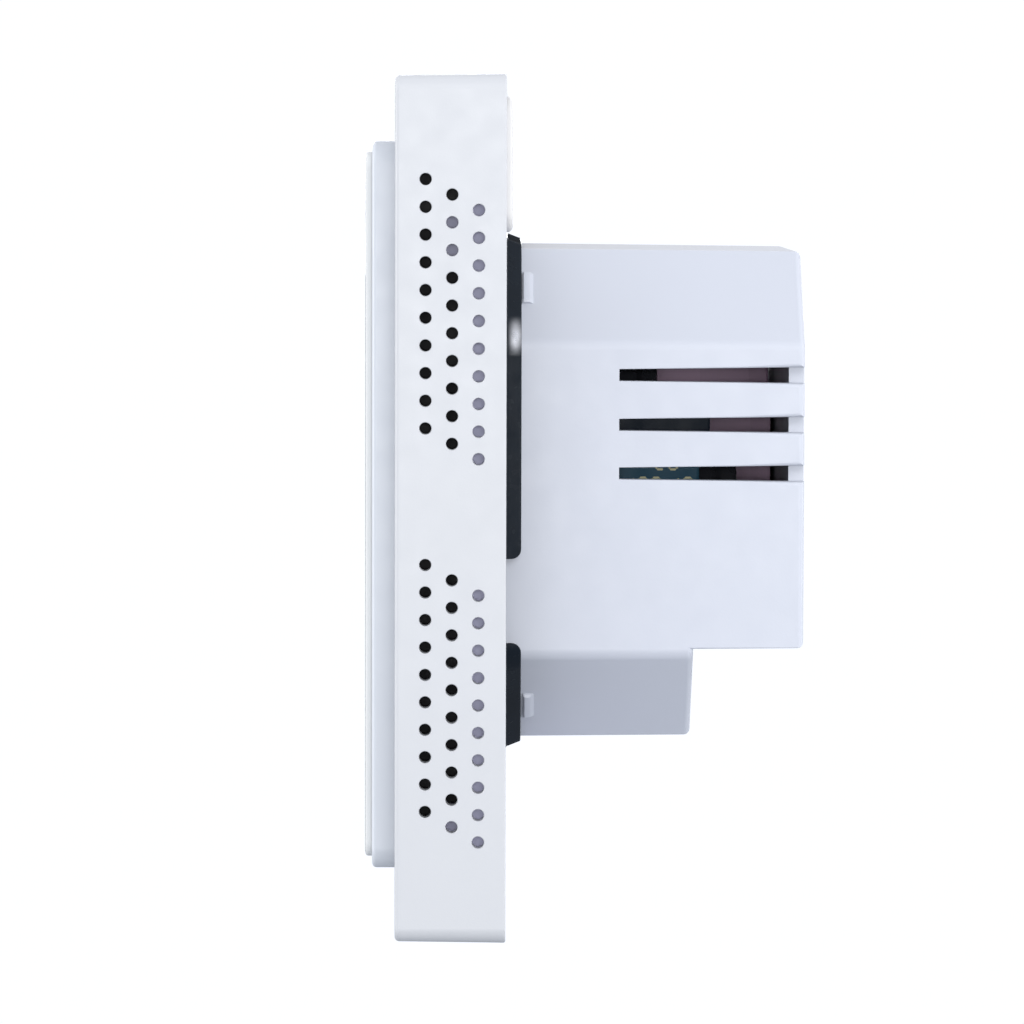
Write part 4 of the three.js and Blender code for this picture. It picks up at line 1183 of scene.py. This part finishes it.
def threaded_profile(radius, start, end, pitch=0.45, depth=0.16):
    """(radius, y) points of a shank whose thread crests follow each other along Y."""
    points = []
    turns = int((end - start) / pitch)
    for i in range(turns):
        y = start + i * pitch
        points.append((radius - depth, y))
        points.append((radius, y + pitch / 2))
    points.append((radius - depth, start + turns * pitch))
    return points


def clamp_screw(number, x):
    """A cross-slotted screw whose shank shows thread crests."""
    node = f"clamp_screw_{number}"
    low, high = node_box(node)
    head = 1.8
    seat = high.y - 1.4
    thread = threaded_profile(1.0, low.y + 0.2, seat - 0.3)
    profile = [
        (0, low.y), (0.7, low.y), *thread, (0.95, seat), (head - 0.1, seat), (head, seat + 0.1),
        (head, high.y - 0.3), (head - 0.08, high.y - 0.12), (head - 0.25, high.y), (0, high.y),
    ]
    made = turned(f"clamping_screw_{number}", profile)
    cross_cut(made, 0, 0, ((2.4, 0.28), (0.28, 1.2)), high.y - 0.7, high.y + 1, 0.04)
    moved(made, (x, 0, TERMINAL_Z))
    place(made, STEEL, f"screw_{number}", node, "steel", 35)


def clamp_cage(number, x):
    node = f"clamp_cage_{number}"
    low, high = node_box(node)
    wall = 0.5
    made = rounded_block(f"clamping_cage_{number}", low, high, 0.25, 3)
    room_high = (high.x - wall, high.y - 1.0, high.z + 1)
    room = rounded_block("wire_room", (low.x + wall, low.y + 0.8, low.z - 1), room_high, 0.15)
    cut(made, room, rod("thread", x, TERMINAL_Z, 1.2, high.y - 2, high.y + 1))
    place(made, STEEL, f"cage_{number}", node, "steel")


def terminal_row():
    for number, x in enumerate(terminal_centres(), 1):
        clamp_screw(number, x)
        clamp_cage(number, x)
        keep(f"contact_bar_{number}", BRASS)


def driver_screw(node, name, body, head_first):
    """A small screw with a domed, recessed head, which is at its front end if head_first."""
    low, high = node_box(node)
    centre = (low + high) / 2
    radius = (high.z - low.z) / 2
    step = 1 if head_first else -1
    top, tip = (low.y, high.y)[::step]
    shank = 1.15 if head_first else 0.95
    seat = top + step * 1.6
    profile = [
        (0, top), (radius * 0.6, top + step * 0.03), (radius * 0.88, top + step * 0.2),
        (radius, top + step * 0.55), (radius, seat - step * 0.1), (radius - 0.1, seat), (shank - 0.1, seat),
    ]
    y = seat + step * 0.6
    while (tip - y) * step > 1.0:
        profile += [(shank - 0.16, y), (shank, y + step * 0.2), (shank - 0.16, y + step * 0.4)]
        y += step * 0.5
    profile += [(0.25, tip), (0, tip)]
    made = turned(name, profile[::step], 28)
    recess = sorted((top - step * 1.0, top + step * 0.75))
    cross_cut(made, 0, 0, ((1.15, 0.2), (0.2, 1.15)), *recess, 0.05)
    moved(made, (centre.x, 0, centre.z))
    place(made, STEEL, body, node, "steel", 35)


def keep(node, material):
    """Gives a CAD node that stays as it is a better material."""
    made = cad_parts[node]
    made.data.materials.clear()
    made.data.materials.append(material)


def kept_nodes():
    """Inner pieces whose CAD shape already is the real one."""
    finishes = (
        (DIFFUSER, ("light_guide",)),
        (FILM, ("touch_film",)),
        (BOARD, ("display_board", "power_board")),
        (BLACK_PLASTIC, ("control_chip", "rectifier", "air_sensor")),
        (BLACK_PLASTIC, ("cell_holder", "pin_socket", "relay_base")),
        (STEEL, ("backup_cell", "relay_yoke", "relay_armature")),
        (BRASS, ("pin_header", "relay_contact")),
        (COPPER, ("relay_coil",)),
        (GREEN, ("terminal_block",)),
        (CERAMIC, ("fuse",)),
        (BLUE, ("varistor",)),
    )
    for material, nodes in finishes:
        for node in nodes:
            keep(node, material)


def build():
    front_frame()
    display_shell()
    front_glass()
    glass_print()
    touch_icons()
    lcd_panel()
    display_segments()
    inner_chassis()
    base_plate()
    mounting_plate()
    rear_housing()
    relay()
    film_capacitor()
    can_capacitor("bulk_capacitor", "bulk_can")
    can_capacitor("output_capacitor", "output_can")
    transformer()
    terminal_row()
    for number in range(1, 5):
        driver_screw(f"board_screw_{number}", f"display_screw_{number}", FRONT, False)
        driver_screw(f"assembly_screw_{number}", f"housing_screw_{number}", WALL, True)
    kept_nodes()


# -------------------- camera, light and floor


def area_light(name, position, target, size, power):
    light = bpy.data.lights.new(name, "AREA")
    light.shape = "RECTANGLE"
    light.size, light.size_y = size
    light.energy = power
    made = bpy.data.objects.new(name, light)
    made.location = position
    made.rotation_euler = (Vector(target) - Vector(position)).to_track_quat("-Z", "Y").to_euler()
    bpy.context.scene.collection.objects.link(made)


def camera():
    """A long lens, level with the upper part of the object and square to its side."""
    data = bpy.data.cameras.new("camera")
    data.lens = 183.66
    data.sensor_width = 36
    data.clip_start = 0.01
    made = bpy.data.objects.new("camera", data)
    made.location = (0.5564, -0.0004, 0.0350)
    target = Vector((0, 0.00065, -0.00294))
    turn = (target - made.location).to_track_quat("-Z", "Y").to_matrix().to_4x4()
    roll = Matrix.Rotation(math.radians(0.13), 4, "Z")
    made.matrix_world = Matrix.Translation(made.location) @ turn @ roll
    bpy.context.scene.collection.objects.link(made)
    bpy.context.scene.camera = made


def studio():
    """White surroundings, a pale round floor far below the object, and softboxes."""
    world = bpy.data.worlds.new("studio")
    world.use_nodes = True
    background = world.node_tree.nodes["Background"]
    background.inputs["Color"].default_value = (1.0, 1.03, 1.1, 1)
    background.inputs["Strength"].default_value = 1.0
    bpy.context.scene.world = world
    bpy.context.scene.view_settings.view_transform = "Standard"
    radius = 2.2 / MM
    height = -0.6 / MM
    disc = turned("floor", [(0, -2), (radius, -2), (radius, 0), (0, 0)], 96)
    floor = moved(disc, (0, 0, height), Matrix.Rotation(math.pi / 2, 3, "X"))
    floor.data.materials.append(stage_material("pale_floor", (0.36, 0.38, 0.41)))
    # A wide, low strip at the camera's height shines straight into the slots. The fills are
    # square to the other sides and keep them from going grey.
    lights = (
        ("strip", (0.78, 0.15, 0.047), (0.025, 0.02, 0.008), (0.8, 0.05), 3.8),
        ("upper_key", (0.58, 0.14, 0.38), (0.02, 0, 0), (0.4, 0.3), 1.35),
        ("left_fill", (-0.8, 0, 0.15), (0, 0, 0), (0.6, 0.3), 3.0),
        ("front_fill", (0, -0.8, 0.1), (0, 0, 0), (0.25, 0.5), 3.5),
        ("back_fill", (0, 0.8, 0.1), (0, 0, 0), (0.25, 0.5), 2.5),
    )
    for light in lights:
        area_light(*light)


build()
camera()
studio()
